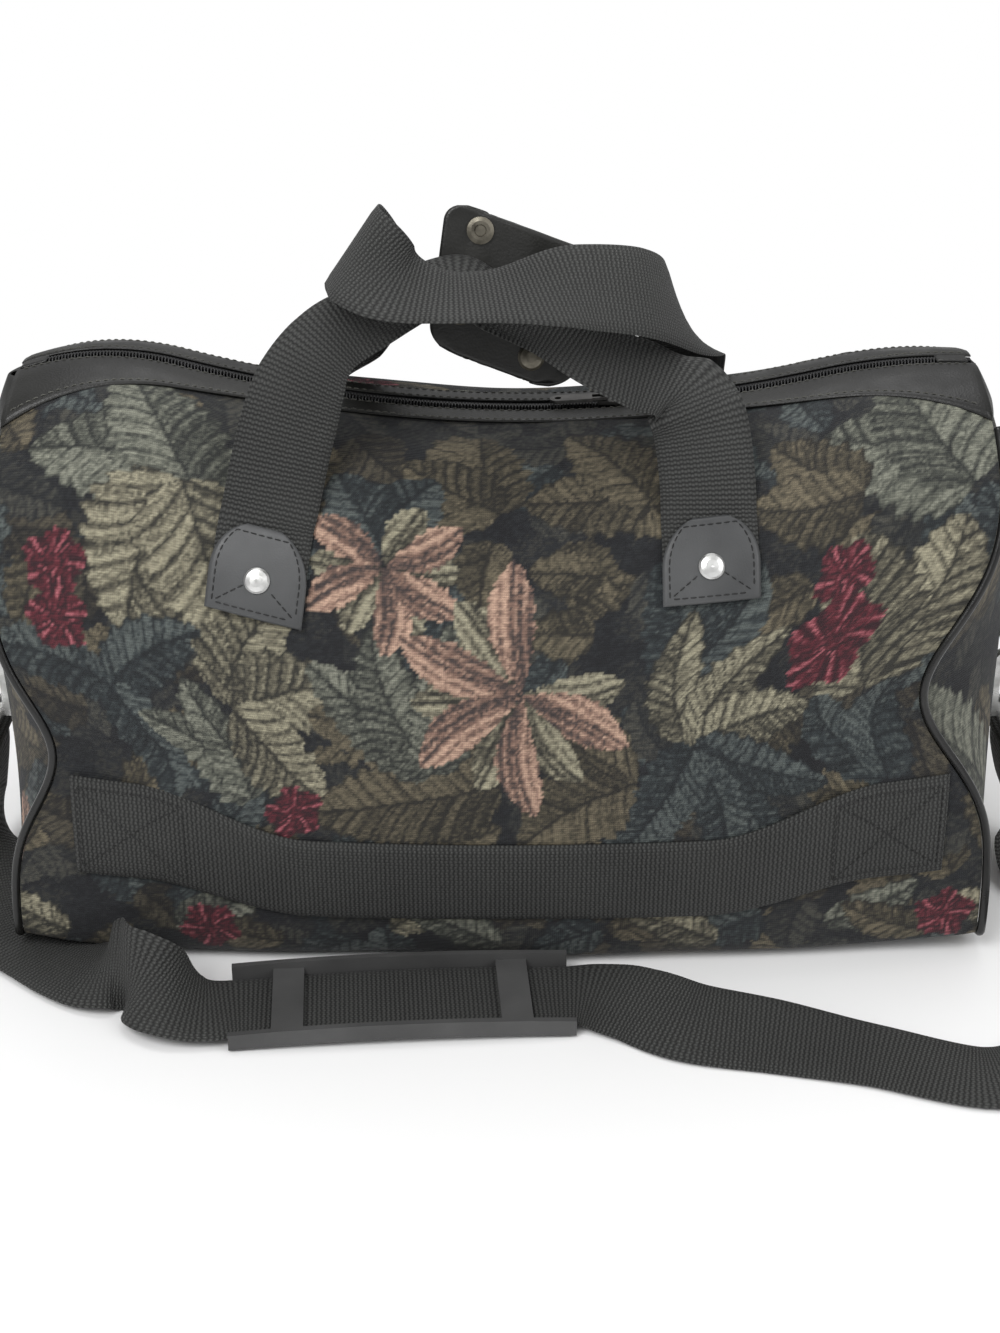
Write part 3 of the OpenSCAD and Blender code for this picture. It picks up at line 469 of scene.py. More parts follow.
RING_Z, PAD_AT, PAD_YAW, PAD_L, PAD_T = 116, np.array([-41, -131, 0]), math.radians(4), 142, 2.6
PAD_ARCH, PAD_CLEAR = 2.2, 1
RING_DROP, RING_TILT, HOOK_IN, HOOK_FOOT, EYE_T, EYE_SLOT = 19.6, math.radians(16), 22, 7, 3.4, 5.4
HOOK_X, HOOK_Z = RING_DROP * math.sin(RING_TILT), -RING_DROP * math.cos(RING_TILT)
EYE_LOW = LOOP_R - HOOK_IN - HOOK_FOOT - SEAT - 2 * EYE_T - EYE_SLOT


def pivot_x(side):
    return float(end_mid_x(side, RING_Z)) + SEAT + LOOP_R + WEB_T


def arch_z(a):
    return PAD_CLEAR + PAD_ARCH * (1 - (2 * a / PAD_L) ** 2)


def pad_station(a):
    return [PAD_AT + np.array([a * math.cos(PAD_YAW), a * math.sin(PAD_YAW), arch_z(a) + PAD_T + WEB_MID]),
            np.array([-math.sin(PAD_YAW), math.cos(PAD_YAW), 0])]


def strap_top(side, drop):
    s = WAY[side]
    top = RING_Z + HOOK_Z + EYE_LOW - SEAT
    return [np.array([s * (pivot_x(side) + HOOK_X), 0, top - drop]), np.array([0, 1, 0])]


def laid(rows):
    return [[np.array(p, float), np.array(facing, float)] for p, facing in rows]


RIGHT_LAY = laid((
    ((234, -4, 31), (0.1, 0.99, 0)),
    ((241, -15, 13), (0.45, 0.85, 0)),
    ((249, -42, 2.8), (0.95, 0.3, 0)),
    ((252, -85, 1.8), (1, 0, 0)),
    ((246, -130, 1.8), (0.93, 0.37, 0)),
    ((226, -164, 1.8), (0.5, 0.86, 0)),
    ((196, -177, 1.8), (0.2, 0.98, 0)),
    ((150, -163, 2.4), (0.2, 0.97, 0.05)),
    ((112, -155, 5.5), (0.12, 0.96, 0.24)),
    ((78, -149, 8), (0.05, 0.94, 0.34)),
    ((56, -136, 7.6), (0, 0.97, 0.24)),
    ((40, -128, 6), (-0.04, 0.99, 0.1))))
LEFT_LAY = laid((
    ((-124, -138.5, 6.8), (-0.04, 0.99, 0.12)),
    ((-139, -138, 15), (-0.1, 0.76, 0.62)),
    ((-151, -131, 19.6), (-0.28, 0.55, 0.76)),
    ((-160, -121, 17), (-0.2, 0.78, 0.58)),
    ((-173, -114, 8), (0.25, 0.95, 0.18)),
    ((-192, -99, 2.8), (0.45, 0.89, 0)),
    ((-217, -75, 2.4), (0.75, 0.66, 0)),
    ((-233, -38, 4), (0.85, 0.5, 0)),
    ((-239, -13, 16), (0.45, 0.88, 0)),
    ((-234, -4, 31), (0.1, 0.99, 0))))
UNDER_PAD = [pad_station(a) for a in (66, 40, 0, -40, -66)]
STRAP_ROUTE = steady([strap_top(1, 0), strap_top(1, 10)] + RIGHT_LAY + UNDER_PAD + LEFT_LAY
                     + [strap_top(0, 10), strap_top(0, 0)])


# Materials
class Cloth:
    """A node material with a few shorthands; sockets and plain numbers both go in as inputs."""

    def __init__(self, name):
        self.material = bpy.data.materials.new(name)
        self.material.use_nodes = True
        self.tree = self.material.node_tree
        self.shader = next(n for n in self.tree.nodes if n.type == "BSDF_PRINCIPLED")

    def node(self, kind, inputs=None, **settings):
        n = self.tree.nodes.new(kind)
        for key, value in settings.items():
            setattr(n, key, value)
        for key, value in (inputs or {}).items():
            self.put(n.inputs[key], value)
        return n

    def put(self, socket, value):
        if isinstance(value, bpy.types.NodeSocket):
            self.tree.links.new(value, socket)
        elif isinstance(value, tuple) and len(value) == 3 and socket.type == "RGBA":
            socket.default_value = (*value, 1)
        else:
            socket.default_value = value

    def set(self, **inputs):
        for key, value in inputs.items():
            self.put(self.shader.inputs[key.replace("_", " ")], value)

    def math(self, operation, a, b=0.0, c=0.0):
        return self.node("ShaderNodeMath", {0: a, 1: b, 2: c}, operation=operation).outputs[0]

    def wave(self, value, scale):
        """Rounded ridges: the size of the sine of a scaled value."""
        return self.math("ABSOLUTE", self.math("SINE", self.math("MULTIPLY", value, scale)))

    def ramp(self, value, low, high, to_low=0.0, to_high=1.0):
        return self.node("ShaderNodeMapRange", {0: value, 1: low, 2: high, 3: to_low, 4: to_high}).outputs[0]

    def noise(self, vector, scale, detail=3.0, stretch=None):
        if stretch:
            stretched = self.node("ShaderNodeVectorMath", {0: vector, 1: stretch}, operation="MULTIPLY")
            vector = stretched.outputs[0]
        texture = self.node("ShaderNodeTexNoise", {"Vector": vector, "Scale": scale, "Detail": detail})
        return texture.outputs[0]

    def mix(self, factor, a, b):
        n = self.node("ShaderNodeMix", data_type="RGBA")
        self.put(n.inputs[0], factor)
        self.put(n.inputs[6], a)
        self.put(n.inputs[7], b)
        return n.outputs[2]

    def place(self):
        return self.node("ShaderNodeNewGeometry").outputs["Position"]

    def cloth(self):
        uv = self.node("ShaderNodeUVMap", uv_map="cloth").outputs[0]
        split = self.node("ShaderNodeSeparateXYZ", {0: uv})
        return uv, split.outputs[0], split.outputs[1]

    def bump(self, height, distance, strength=1.0):
        n = self.node("ShaderNodeBump", {"Height": height, "Distance": distance, "Strength": strength})
        self.put(self.shader.inputs["Normal"], n.outputs[0])


def srgb(r, g, b):
    return tuple(float(((c / 255 + 0.055) / 1.055) ** 2.4) if c > 10 else c / 255 / 12.92 for c in (r, g, b))


def grained(name, dark, light, rough, grain, depth):
    """Vinyl, leather or moulded plastic: cell grain, slow colour change and worn, lighter patches."""
    c = Cloth(name)
    p = c.place()
    cells = c.node("ShaderNodeTexVoronoi", {"Vector": p, "Scale": grain}).outputs[0]
    slow = c.noise(p, 28)
    c.set(Base_Color=c.mix(c.ramp(slow, 0.35, 0.7), dark, light),
          Roughness=c.ramp(c.noise(p, 90), 0.3, 0.7, rough - 0.07, rough + 0.09))
    c.bump(c.math("ADD", c.math("MULTIPLY", cells, 0.6), c.math("MULTIPLY", slow, 0.4)), depth)
    return c.material


def metal(name, colour, dull, rough):
    c = Cloth(name)
    p = c.place()
    wear = c.noise(p, 160, 4)
    c.set(Metallic=1.0, Base_Color=c.mix(c.ramp(wear, 0.4, 0.72), colour, dull),
          Roughness=c.ramp(wear, 0.3, 0.75, rough, rough + 0.14))
    c.bump(c.noise(p, 900, 2), 0.00004, 0.4)
    return c.material


def webbing(name, dark, light, column=1.3, pitch=1.9):
    """Ribbed webbing: rounded ribs across, broken by the finer lines of its warp, with painted shade in the
    grooves and painted highlight on the rib crowns.
    """
    c = Cloth(name)
    uv, u, v = c.cloth()
    wander = c.noise(uv, 260, 2)
    col = c.math("MULTIPLY", u, 1000 / column)
    step = c.math("MULTIPLY", c.math("PINGPONG", c.math("FLOOR", col), 1.0), 0.16)
    place = c.math("ADD", c.math("MULTIPLY_ADD", v, 1000 / pitch, step), c.math("MULTIPLY", wander, 0.25))
    rib = c.wave(place, math.pi)
    ridge = c.wave(col, math.pi)
    height = c.math("MULTIPLY", c.math("POWER", rib, 1.4), c.math("MULTIPLY_ADD", ridge, 0.5, 0.5))
    fuzz = c.noise(uv, 1100, 2, (1.0, 2.4, 1.0))
    slow = c.noise(c.place(), 20)
    # Painted shade and highlight: the colour follows the rib height, lighter on the crowns and darker in the
    # grooves, plus a slow random tone.
    shade = c.math("ADD", c.math("MULTIPLY", height, 0.8), c.math("MULTIPLY_ADD", slow, 0.4, -0.2))
    c.set(Base_Color=c.mix(c.ramp(c.math("MULTIPLY_ADD", fuzz, 0.3, shade), 0.1, 1.05), dark, light),
          Roughness=c.ramp(height, 0, 1, 0.78, 0.56))
    c.shader.inputs["Sheen Weight"].default_value = 0.04
    c.bump(c.math("MULTIPLY_ADD", fuzz, 0.12, height), 0.0006, 1.0)
    return c.material


# Distances between the cloth's threads, and the length over which one thread shows
WEFT, WARP, FLOAT = 1.05, 0.8, 1.3


def tapestry(name):
    """Woven picture cloth: dyed threads from the mesh's own dye layer, with the relief of the weave, and
    painted shade that darkens the colour in the grooves between the threads.
    """
    c = Cloth(name)
    uv, u, v = c.cloth()
    weft = c.wave(v, 1000 * math.pi / WEFT)
    warp = c.wave(u, 1000 * math.pi / WARP)
    thread = c.noise(uv, 900, 2, (0.45, 1.7, 1.0))
    height = c.math("ADD", c.math("MULTIPLY", weft, 0.6), c.math("MULTIPLY", warp, 0.4))
    dye = c.node("ShaderNodeVertexColor", layer_name="dye").outputs[0]
    # Painted shade: the weave's height lightens the dye on the crowns of the threads and darkens it in the
    # grooves; the thread noise is random tone.
    level = c.math("ADD", c.ramp(thread, 0.3, 0.7, 0.74, 1.2), c.math("MULTIPLY_ADD", height, 0.3, -0.16))
    c.set(Base_Color=c.node("ShaderNodeVectorMath", {0: dye, "Scale": level}, operation="SCALE").outputs[0],
          Roughness=0.88)
    c.shader.inputs["Sheen Weight"].default_value = 0.05
    c.bump(c.math("MULTIPLY_ADD", thread, 0.4, height), 0.00028, 0.7)
    return c.material


TAPESTRY = tapestry("tapestry")
# The webbing's colours run from painted shade in the rib grooves to painted highlight on the rib crowns.
WEBBING = webbing("webbing", srgb(5, 5, 5), srgb(64, 65, 63))
PIPING = grained("piping_vinyl", srgb(14, 14, 14), srgb(26, 26, 25), 0.3, 1500, 0.00005)
TRIM = grained("trim_vinyl", srgb(13, 13, 12), srgb(26, 26, 23), 0.42, 1100, 0.00012)
TAB = grained("tab_vinyl", srgb(58, 59, 60), srgb(74, 75, 76), 0.42, 1300, 0.00006)
LEATHER = grained("wrap_leather", srgb(17, 17, 15), srgb(30, 30, 27), 0.4, 900, 0.00012)
PLASTIC = grained("pad_plastic", srgb(62, 62, 62), srgb(76, 76, 76), 0.5, 1700, 0.00005)
TAPE = grained("zip_tape", srgb(20, 20, 22), srgb(34, 34, 36), 0.8, 1800, 0.00015)
COIL = grained("coil", srgb(16, 16, 17), srgb(30, 30, 32), 0.4, 2000, 0.00003)
THREAD = grained("thread", srgb(20, 20, 20), srgb(34, 34, 34), 0.7, 2400, 0.0001)
PALE_THREAD = grained("pale_thread", srgb(58, 58, 54), srgb(86, 86, 80), 0.7, 2400, 0.0001)
BOARD = grained("board", srgb(120, 104, 80), srgb(146, 128, 98), 0.85, 800, 0.0001)
NICKEL = metal("nickel", (0.82, 0.82, 0.81), (0.62, 0.62, 0.6), 0.3)
HARDWARE = metal("hardware", (0.55, 0.55, 0.54), (0.36, 0.36, 0.35), 0.24)
ZIP_METAL = metal("zip_metal", (0.14, 0.135, 0.13), (0.08, 0.08, 0.078), 0.34)
ANTIQUE = metal("snap_metal", (0.2, 0.185, 0.15), (0.06, 0.055, 0.045), 0.36)
LINING = grained("lining", srgb(30, 31, 34), srgb(44, 45, 48), 0.85, 1500, 0.0001)


# The shoulder strap comes first: one free length from hook to hook
strap_points, strap_faces, strap_uv = ribbon(STRAP_ROUTE, WEB_W, WEB_T, 10)
strap = make("strap", strap_points, strap_faces, WEBBING, replaces=["shoulder_strap"],
             uv=strap_uv)


# Woven picture: each motif has a kind, a foot and a tip on the cloth, a half width and a thread set
def fan(kind, foot, turns, length, width, threads):
    """Leaves or petals that spread from one foot, one for each turn in degrees."""
    x, a = foot
    lines = [run_and_rise(length, turn) for turn in turns]
    return [(kind, x, a, x + run, a + rise, width, threads) for run, rise in lines]


def blooms(places, width):
    return [("bloom", x, a, x, a, width, "wine") for x, a in places]


def lily(foot, turn, length, width):
    """An open lily: peach petals over shorter pale ones."""
    pale = fan("petal", foot, [turn + 60 * i + 30 for i in range(5)], 0.85 * length, width, "khaki")
    return pale + fan("petal", foot, [turn + 60 * i for i in range(5)], length, width, "peach")


def palm_leaf(foot, length, width):
    """A leaf of seven fingers, pale above and dark below."""
    upper, lower = [100, 55, 15], [-20, -55, -90, -130]
    return fan("leaf", foot, upper, length, width, "khaki") + fan("leaf", foot, lower, length, width, "teal")


def border(count, step, low):
    """A row of leaves along the foot of the cloth."""
    row = []
    for i in range(count):
        foot = (step * (i - (count - 1) / 2), low + 8 * (i % 2))
        turn, threads = 25 if i % 2 else 155, ("khaki", "sage", "olive")[i % 3]
        row += fan("leaf", foot, [turn], 0.95 * step, 0.2 * step, threads)
    return row


MOTIFS = (
    border(9, 45, 22)
    + fan("leaf", (-115, 210), (165, 120), 75, 22, "sage")
    + fan("leaf", (-125, 220), (250, 290), 65, 24, "khaki")
    + fan("leaf", (-160, 140), (165, 30, 290), 50, 12, "teal")
    + fan("leaf", (-110, 95), (140, 110), 55, 12, "sage")
    + fan("leaf", (-110, 135), (60, 15, 310), 50, 16, "khaki")
    + fan("leaf", (0, 105), (160, 190), 85, 21, "olive")
    + fan("leaf", (-30, 110), (135, 108, 80), 65, 14, "sage")
    + fan("leaf", (60, 105), (150, 210), 60, 18, "olive")
    + fan("leaf", (60, 225), (180, 130), 50, 15, "olive")
    + fan("leaf", (0, 220), (100, 150), 45, 16, "olive")
    + fan("leaf", (-45, 200), (60, 120), 40, 15, "teal")
    + lily((-45, 195), 150, 35, 7)
    + lily((10, 145), 95, 55, 9)
    + fan("leaf", (80, 150), (110, 60), 50, 15, "teal")
    + palm_leaf((90, 120), 58, 12)
    + fan("leaf", (190, 215), (155, 115), 65, 22, "sage")
    + fan("leaf", (145, 215), (140, 180), 45, 15, "olive")
    + fan("leaf", (170, 140), (75, 115), 65, 22, "khaki")
    + fan("leaf", (170, 100), (120, 70), 45, 14, "teal")
    + blooms([(-175, 185), (-175, 165), (-90, 90), (-120, 30), (140, 185), (185, 30)], 13)
    + blooms([(145, 160)], 20))

# Dark, middle and light thread of each set
THREADS = {name: np.array([srgb(*c) for c in three]) for name, three in {
    "khaki": ((40, 39, 34), (94, 90, 76), (146, 141, 120)),
    "sage": ((36, 38, 36), (78, 80, 72), (120, 121, 109)),
    "olive": ((33, 31, 27), (68, 63, 51), (100, 92, 75)),
    "teal": ((24, 28, 31), (42, 48, 50), (80, 86, 84)),
    "peach": ((58, 50, 49), (122, 96, 84), (176, 146, 127)),
    "wine": ((42, 17, 24), (84, 28, 38), (158, 88, 96)),
    "dusk": ((23, 25, 28), (40, 41, 40), (64, 63, 57)),
    "shade": ((25, 24, 24), (46, 43, 37), (72, 67, 56))}.items()}
GROUND = np.array([srgb(*c) for c in ((17, 18, 22), (26, 28, 31), (42, 42, 40))])
REPEAT_X, REPEAT_A = 404.0, 300.0


def chance(i, j, k=0.0):
    """An even spread of numbers from 0 to 1, one for each whole i and j."""
    return np.abs(np.sin(i * 127.1 + j * 311.7 + k * 74.7) * 43758.5453) % 1.0


def wrapped(d, repeat):
    return (d + repeat / 2) % repeat - repeat / 2


def undergrowth():
    """Small dull leaves that fill the ground between the motifs."""
    columns, rows, length = 17, 14, 30
    sets = ("dusk", "shade", "teal", "dusk", "olive")
    for i in range(columns):
        for j in range(rows):
            x = (i + chance(i, j)) * REPEAT_X / columns - REPEAT_X / 2
            a = (j + chance(j, i)) * REPEAT_A / rows
            turn = 6.3 * chance(i, j, 2.0)
            yield ("leaf", x, a, x + length * math.cos(turn), a + length * math.sin(turn),
                   9 + 4 * chance(i, j, 4.0), sets[int(len(sets) * chance(i, j, 3.0))])


def leaf_level(t, s, half, length, width, number):
    """Brightness of a leaf at t along it and s across it: dark veins, streaks and a lit half."""
    r = np.abs(s)
    phase = (t * length - 0.95 * r + 0.35 * r * r / width) / max(4.8, width * 0.34)
    vein = np.cos(2 * np.pi * phase + 1.5 * np.sign(s))
    streak = chance(np.floor(phase * 4), np.sign(s), number) - 0.5
    lit = 0.13 * np.sign(s) * (1 if chance(number, 7.0) > 0.5 else -1)
    return (0.56 - 0.3 * ease((vein - 0.45) / 0.4) + 0.34 * streak + lit + 0.14 * (t - 0.5)
            - 0.5 * np.exp(-(r / 0.8) ** 2) - 0.4 * (half - r < 1.0) * (chance(number, 9.0) > 0.4))


def thread_tone(three, level):
    """Colour between the dark, middle and light thread for a level from 0 to 1."""
    return np.stack([np.interp(level, (0.15, 0.5, 0.85), three[:, k]) for k in range(3)], -1)


def dye(x, a):
    """Thread colours of the tapestry at x along and a up the cloth: motifs laid one over another."""
    row, column = np.floor(a / WEFT), np.floor(x / FLOAT)
    stray = chance(row, column) - 0.5
    cloud = 0.3 * np.sin(x / 9 + 2 * np.sin(a / 13)) * np.sin(a / 8 + 1.5 * np.sin(x / 15))
    level = 0.4 + cloud + 0.6 * stray
    tone = GROUND[np.clip(np.floor(level * 3), 0, 2).astype(int)]
    for number, (kind, x0, a0, x1, a1, width, threads) in enumerate(list(undergrowth()) + MOTIFS):
        reach = width * 1.2 if kind == "bloom" else math.hypot(x1 - x0, a1 - a0) + width
        dx, da = wrapped(x - x0, REPEAT_X), wrapped(a - a0, REPEAT_A)
        at = np.nonzero(np.hypot(dx, da) < reach)[0]
        dx, da, loose = dx[at], da[at], stray[at]
        if kind == "bloom":
            r, angle = np.hypot(dx, da), np.arctan2(da, dx) + number
            inside = r < width * (0.9 + 0.1 * np.cos(5 * angle)) + 1.6 * loose
            lines = np.cos(15 * angle + r / 3) * np.cos(2.5 * angle + 0.6) ** 2
            parting = np.abs(np.cos(2.5 * angle)) < 0.22
            level = 0.36 + 0.42 * lines * (r > width * 0.2) - 0.3 * parting + 0.44 * loose
        else:
            length = math.hypot(x1 - x0, a1 - a0)
            ex, ea = (x1 - x0) / length, (a1 - a0) / length
            t = (dx * ex + da * ea) / length
            bend = 0.2 * length * (chance(number, 3.0) - 0.5)
            s = dx * -ea + da * ex - bend * np.sin(np.pi * np.clip(t, 0, 1))
            belly, fullness, teeth = (1.25, 0.75, 0.04) if kind == "petal" else (0.7, 0.6, 0.09)
            body = np.sin(np.pi * np.clip(t, 0, 1) ** belly) ** fullness
            half = width * 1.08 * body * (1 + teeth * np.sin(t * length * 0.8 + np.sign(s)))
            inside = (t > 0) & (t < 1) & (np.abs(s) < half + 1.2 * loose)
            if kind == "petal":
                level = (0.34 + 0.3 * t + 0.2 * np.cos(2 * np.pi * s / 4.2 + 3 * t) + 0.15 * np.sign(s)
                         - 0.35 * np.exp(-(s / 0.8) ** 2) + 0.5 * loose)
            else:
                level = leaf_level(t, s, half, length, width, number) + 0.42 * loose
        tone[at[inside]] = thread_tone(THREADS[threads], level[inside])
    return tone * (0.88 + 0.24 * chance(row, np.floor(x / 5.3), 1.0))[:, None]


def panel(name, s, us, vs, node, cloth):
    """One tapestry panel as a fine sheet, with its lining as a coarse one behind it."""
    u, v = np.meshgrid(us, vs, indexing="ij")
    x, a = cloth(u, v)
    obj = make(name, s(u, v), quads(*u.shape), TAPESTRY, replaces=[node],
               uv=np.stack([x, a], -1), colour=dye(x.ravel(), a.ravel()))
    u, v = np.meshgrid(us[::6], vs[::6], indexing="ij")
    inside = lifted(s, u, v, -np.full(u.shape, WALL))
    back_side = make(name + "_lining", inside, quads(*u.shape, True), LINING)


# Half widths of the flat cloth, and where on its repeat the pieces are cut
SIDE_HALF, END_HALF = 200, 95
BACK_CUT, END_CUT, BASE_CUT = (130, 61), (260, 140), 60
panel_arc, end_arc = float(arc_at(PANEL_TOP)), float(arc_at(END_PANEL_TOP))
side_u = np.linspace(-1, 1, 371)
side_v = v_at(np.linspace(0, panel_arc, 265))
panel("tapestry_front", front, side_u, side_v, "front_panel",
      lambda u, v: (u * SIDE_HALF, arc_at(v)))
panel("tapestry_back", back, side_u, side_v, "back_panel",
      lambda u, v: (u * SIDE_HALF + BACK_CUT[0], arc_at(v) + BACK_CUT[1]))
end_u = np.linspace(-1, 1, 151)
end_v = v_at(np.linspace(0, end_arc, 169))
for side, name in enumerate(SIDES):
    panel("tapestry_" + name, end_skin(side), end_u, end_v, "end_panel_" + name,
          lambda u, v: (u * END_HALF + END_CUT[0], arc_at(v) + END_CUT[1]))

columns, rows = 181, 81
base_u, base_w = np.meshgrid(np.linspace(-1, 1, columns), np.linspace(-1, 1, rows), indexing="ij")
foot = lifted(smooth_front, np.linspace(-1, 1, columns), np.zeros(columns), np.full(columns, -WALL))
base_half = -foot[:, 1] - SEAT
base_points = np.stack([base_u * HALF_L, base_w * base_half[:, None], np.full(base_u.shape, 0.15)], -1)
base = make("tapestry_base", base_points, quads(columns, rows, True), TAPESTRY, replaces=["base_panel"],
            uv=base_points[..., :2],
            colour=dye(base_points[..., 0].ravel() + BASE_CUT, base_points[..., 1].ravel()))


# Piping of the end seams
def piping_path(side, vs):
    u = float(WAY[side])
    e = 0.004
    t = smooth_front(u, vs + e) - smooth_front(u, vs - e)
    out = unit(np.cross(t, normal_of(smooth_front, np.full(vs.shape, u * 0.999), vs))) * u
    return smooth_front(u, vs) + out * (PIPING_R + SEAT)


piping_v = np.linspace(0.07, TRIM_V - TRIM_FLARE - 0.012, 120)
for side, name in enumerate(SIDES):
    path = piping_path(side, piping_v)
    for rear in (False, True):
        node = "piping_%s_%s" % ("back" if rear else "front", name)
        points, faces = tube(mirror_y(path) if rear else path, PIPING_R + 0.05, 12)
        make(node + "_cord", points, faces, PIPING, replaces=[node])


# Zip: trim, tapes, coil and end caps
def trim_skin(s):
    def at(u, w):
        low = TRIM_V - TRIM_FLARE * np.abs(u) ** 3
        return s(u, low + (TRIM_TOP - low) * w)
    return at


trim_u, stitch_u = np.linspace(-1, 1, 161), np.linspace(-0.985, 0.985, 400)
for name, s in (("front", smooth_front), ("back", smooth_back)):
    points, faces = slab(trim_skin(s), trim_u, np.linspace(0, 1, 15), SEAT, SEAT + VINYL_T)
    make("trim_" + name, points, faces, TRIM, replaces=["zip_trim_" + name])
    low_row, high_row = (seam(trim_skin(s), stitch_u, w, SEAT + VINYL_T) for w in (0.1, 0.9))
    points, faces = joined(low_row + high_row)
    make("trim_stitches_" + name, points, faces, PALE_THREAD)
    points, faces = slab(s, trim_u, np.linspace(PANEL_TOP + 0.006, 1, 7), -0.8, 0)
    make("tape_" + name, points, faces, TAPE, replaces=["zip_tape_" + name])
for side, name in enumerate(SIDES):
    cap_u, cap_v = np.linspace(-1, 1, 41), np.linspace(0.75, 0.97, 17)
    points, faces = slab(end_skin(side), cap_u, cap_v, SEAT, SEAT + VINYL_T)
    make("cap_" + name, points, faces, TRIM, replaces=["zip_end_" + name])


def ridge_z(x):
    return RIDGE_H + ridge_lift(x, RIDGE_H)


def coil_teeth():
    """Two rows of bent teeth that meet on the middle line of the zip."""
    left_end, right_end, pitch = -198.5, 191, 1.35
    xs = np.arange(left_end, right_end, pitch)
    teeth = []
    for row in (-1, 1):
        for x in xs + (pitch / 2 if row > 0 else 0):
            y = np.array([2.2, 1.9, 0.9, -0.5]) * row
            z = ridge_z(x) + np.array([-0.9, 0.75, 1.12, 0.9])
            path = np.stack([np.full(4, x), y, z], -1)
            teeth.append(tube(path, 0.42, 5))
    return joined(teeth)


points, faces = coil_teeth()
make("teeth", points, faces, COIL, replaces=["zip_coil"])


def zip_stop(x0, x1):
    """A small vinyl patch over the end of the slit between the two tapes."""
    width, rise = 7.0, 0.4

    def at(u, w):
        u, w = both(u, w)
        x = x0 + (x1 - x0) * u
        return np.stack([x, width * (w - 0.5), ridge_z(x) + rise], -1)
    return at


for name, x0, x1 in (("left", -201, -190), ("right", 183, 196)):
    points, faces = slab(zip_stop(x0, x1), np.linspace(0, 1, 13), np.linspace(0, 1, 9), 0, VINYL_T)
    make("zip_stop_" + name, points, faces, TRIM)

# Handles
for name, route in (("front", FRONT_ROUTE), ("back", BACK_ROUTE)):
    points, faces, uv = ribbon(route, WEB_W, WEB_T, 12)
    make("handle_" + name, points, faces, WEBBING, replaces=[name + "_handle"], uv=uv)


def tab_half(b):
    return TAB_W / 2 * np.where(b < 0.4, 1, np.sqrt(np.maximum(0, 1 - ((b - 0.4) / 0.64) ** 2)))


def tab_skin(side, rear):
    def at(a, b):
        a, b = both(a, b)
        x, v = tab_place(side, a * tab_half(b), b * TAB_H)
        p = smooth_front_at(x, v)
        return mirror_y(p) if rear else p
    return at


for rear in (False, True):
    for side, name in enumerate(SIDES):
        node = "tab_%s_%s" % ("back" if rear else "front", name)
        sign = -1 if rear else 1
        skin, high = tab_skin(side, rear), TAB_LOW + VINYL_T
        points, faces = slab(skin, np.linspace(-1, 1, 25) * sign, np.linspace(0, 1, 29), TAB_LOW, high)
        make(node + "_vinyl", points, faces, TAB, replaces=[node])
        line = np.linspace(0.08, 0.9, 60)
        rim_a = np.concatenate([np.full(60, -0.86), np.linspace(-0.86, 0.86, 24)[1:-1], np.full(60, 0.86)])
        rim_b = np.concatenate([line, np.full(22, 0.9), line[::-1]])
        rows = seam(skin, rim_a * sign, rim_b, high)
        rows += seam(skin, np.linspace(-0.8, 0.8, 40) * sign, 0.075, high)
        for way in (-1, 1):
            rows += seam(skin, np.linspace(0.8, 0.22, 30) * way * sign, np.linspace(0.1, 0.34, 30), high)
        points, faces = joined(rows)
        make(node + "_stitches", points, faces, THREAD)

# Webbing along the foot of each side: half length, shift, height on the section and rise of its ends
BASE_STRAP_HALF, BASE_STRAP_X, BASE_STRAP_V, BASE_STRAP_SAG = 183, 4, 0.262, 0.045
HALF_V = WEB_W / 2 * 0.01 / np.hypot(*(np.array(section_at(0.265)) - np.array(section_at(0.255))))


def base_strap_skin(u, w):
    u, w = both(u, w)
    v = BASE_STRAP_V + BASE_STRAP_SAG * ease((np.abs(u) - 0.45) / 0.4) + HALF_V * (2 * w - 1)
    return smooth_front_at(BASE_STRAP_X + u * BASE_STRAP_HALF, v)


def back_strap_skin(u, w):
    return mirror_y(base_strap_skin(-np.asarray(u, float), w))


for name, s in (("front", base_strap_skin), ("back", back_strap_skin)):
    us, ws = np.linspace(-1, 1, 241), np.linspace(0, 1, 13)
    high = SEAT + FACET + WEB_T
    points, faces = slab(s, us, ws, SEAT + FACET, high)
    u, w = np.meshgrid(us, ws, indexing="ij")
    uv = np.stack([(w - 0.5) * WEB_W, u * BASE_STRAP_HALF], -1).reshape(-1, 2)
    make("base_webbing_" + name, points, faces, WEBBING, replaces=["base_strap_" + name],
         uv=np.concatenate([uv, uv]))
    line = np.linspace(0, 1, 40)
    up, down = 0.1 + 0.8 * line, 0.9 - 0.8 * line
    rows = []
    for near_end, far_end in ((-0.985, -0.74), (0.74, 0.985)):
        along = near_end + (far_end - near_end) * line
        for stitch_u, stitch_w in ((along, 0.1), (along, 0.9), (near_end, up), (far_end, up),
                                   (along, up), (along, down)):
            rows += seam(s, stitch_u, stitch_w, high)
    points, faces = joined(rows)
    make("base_stitches_" + name, points, faces, THREAD)


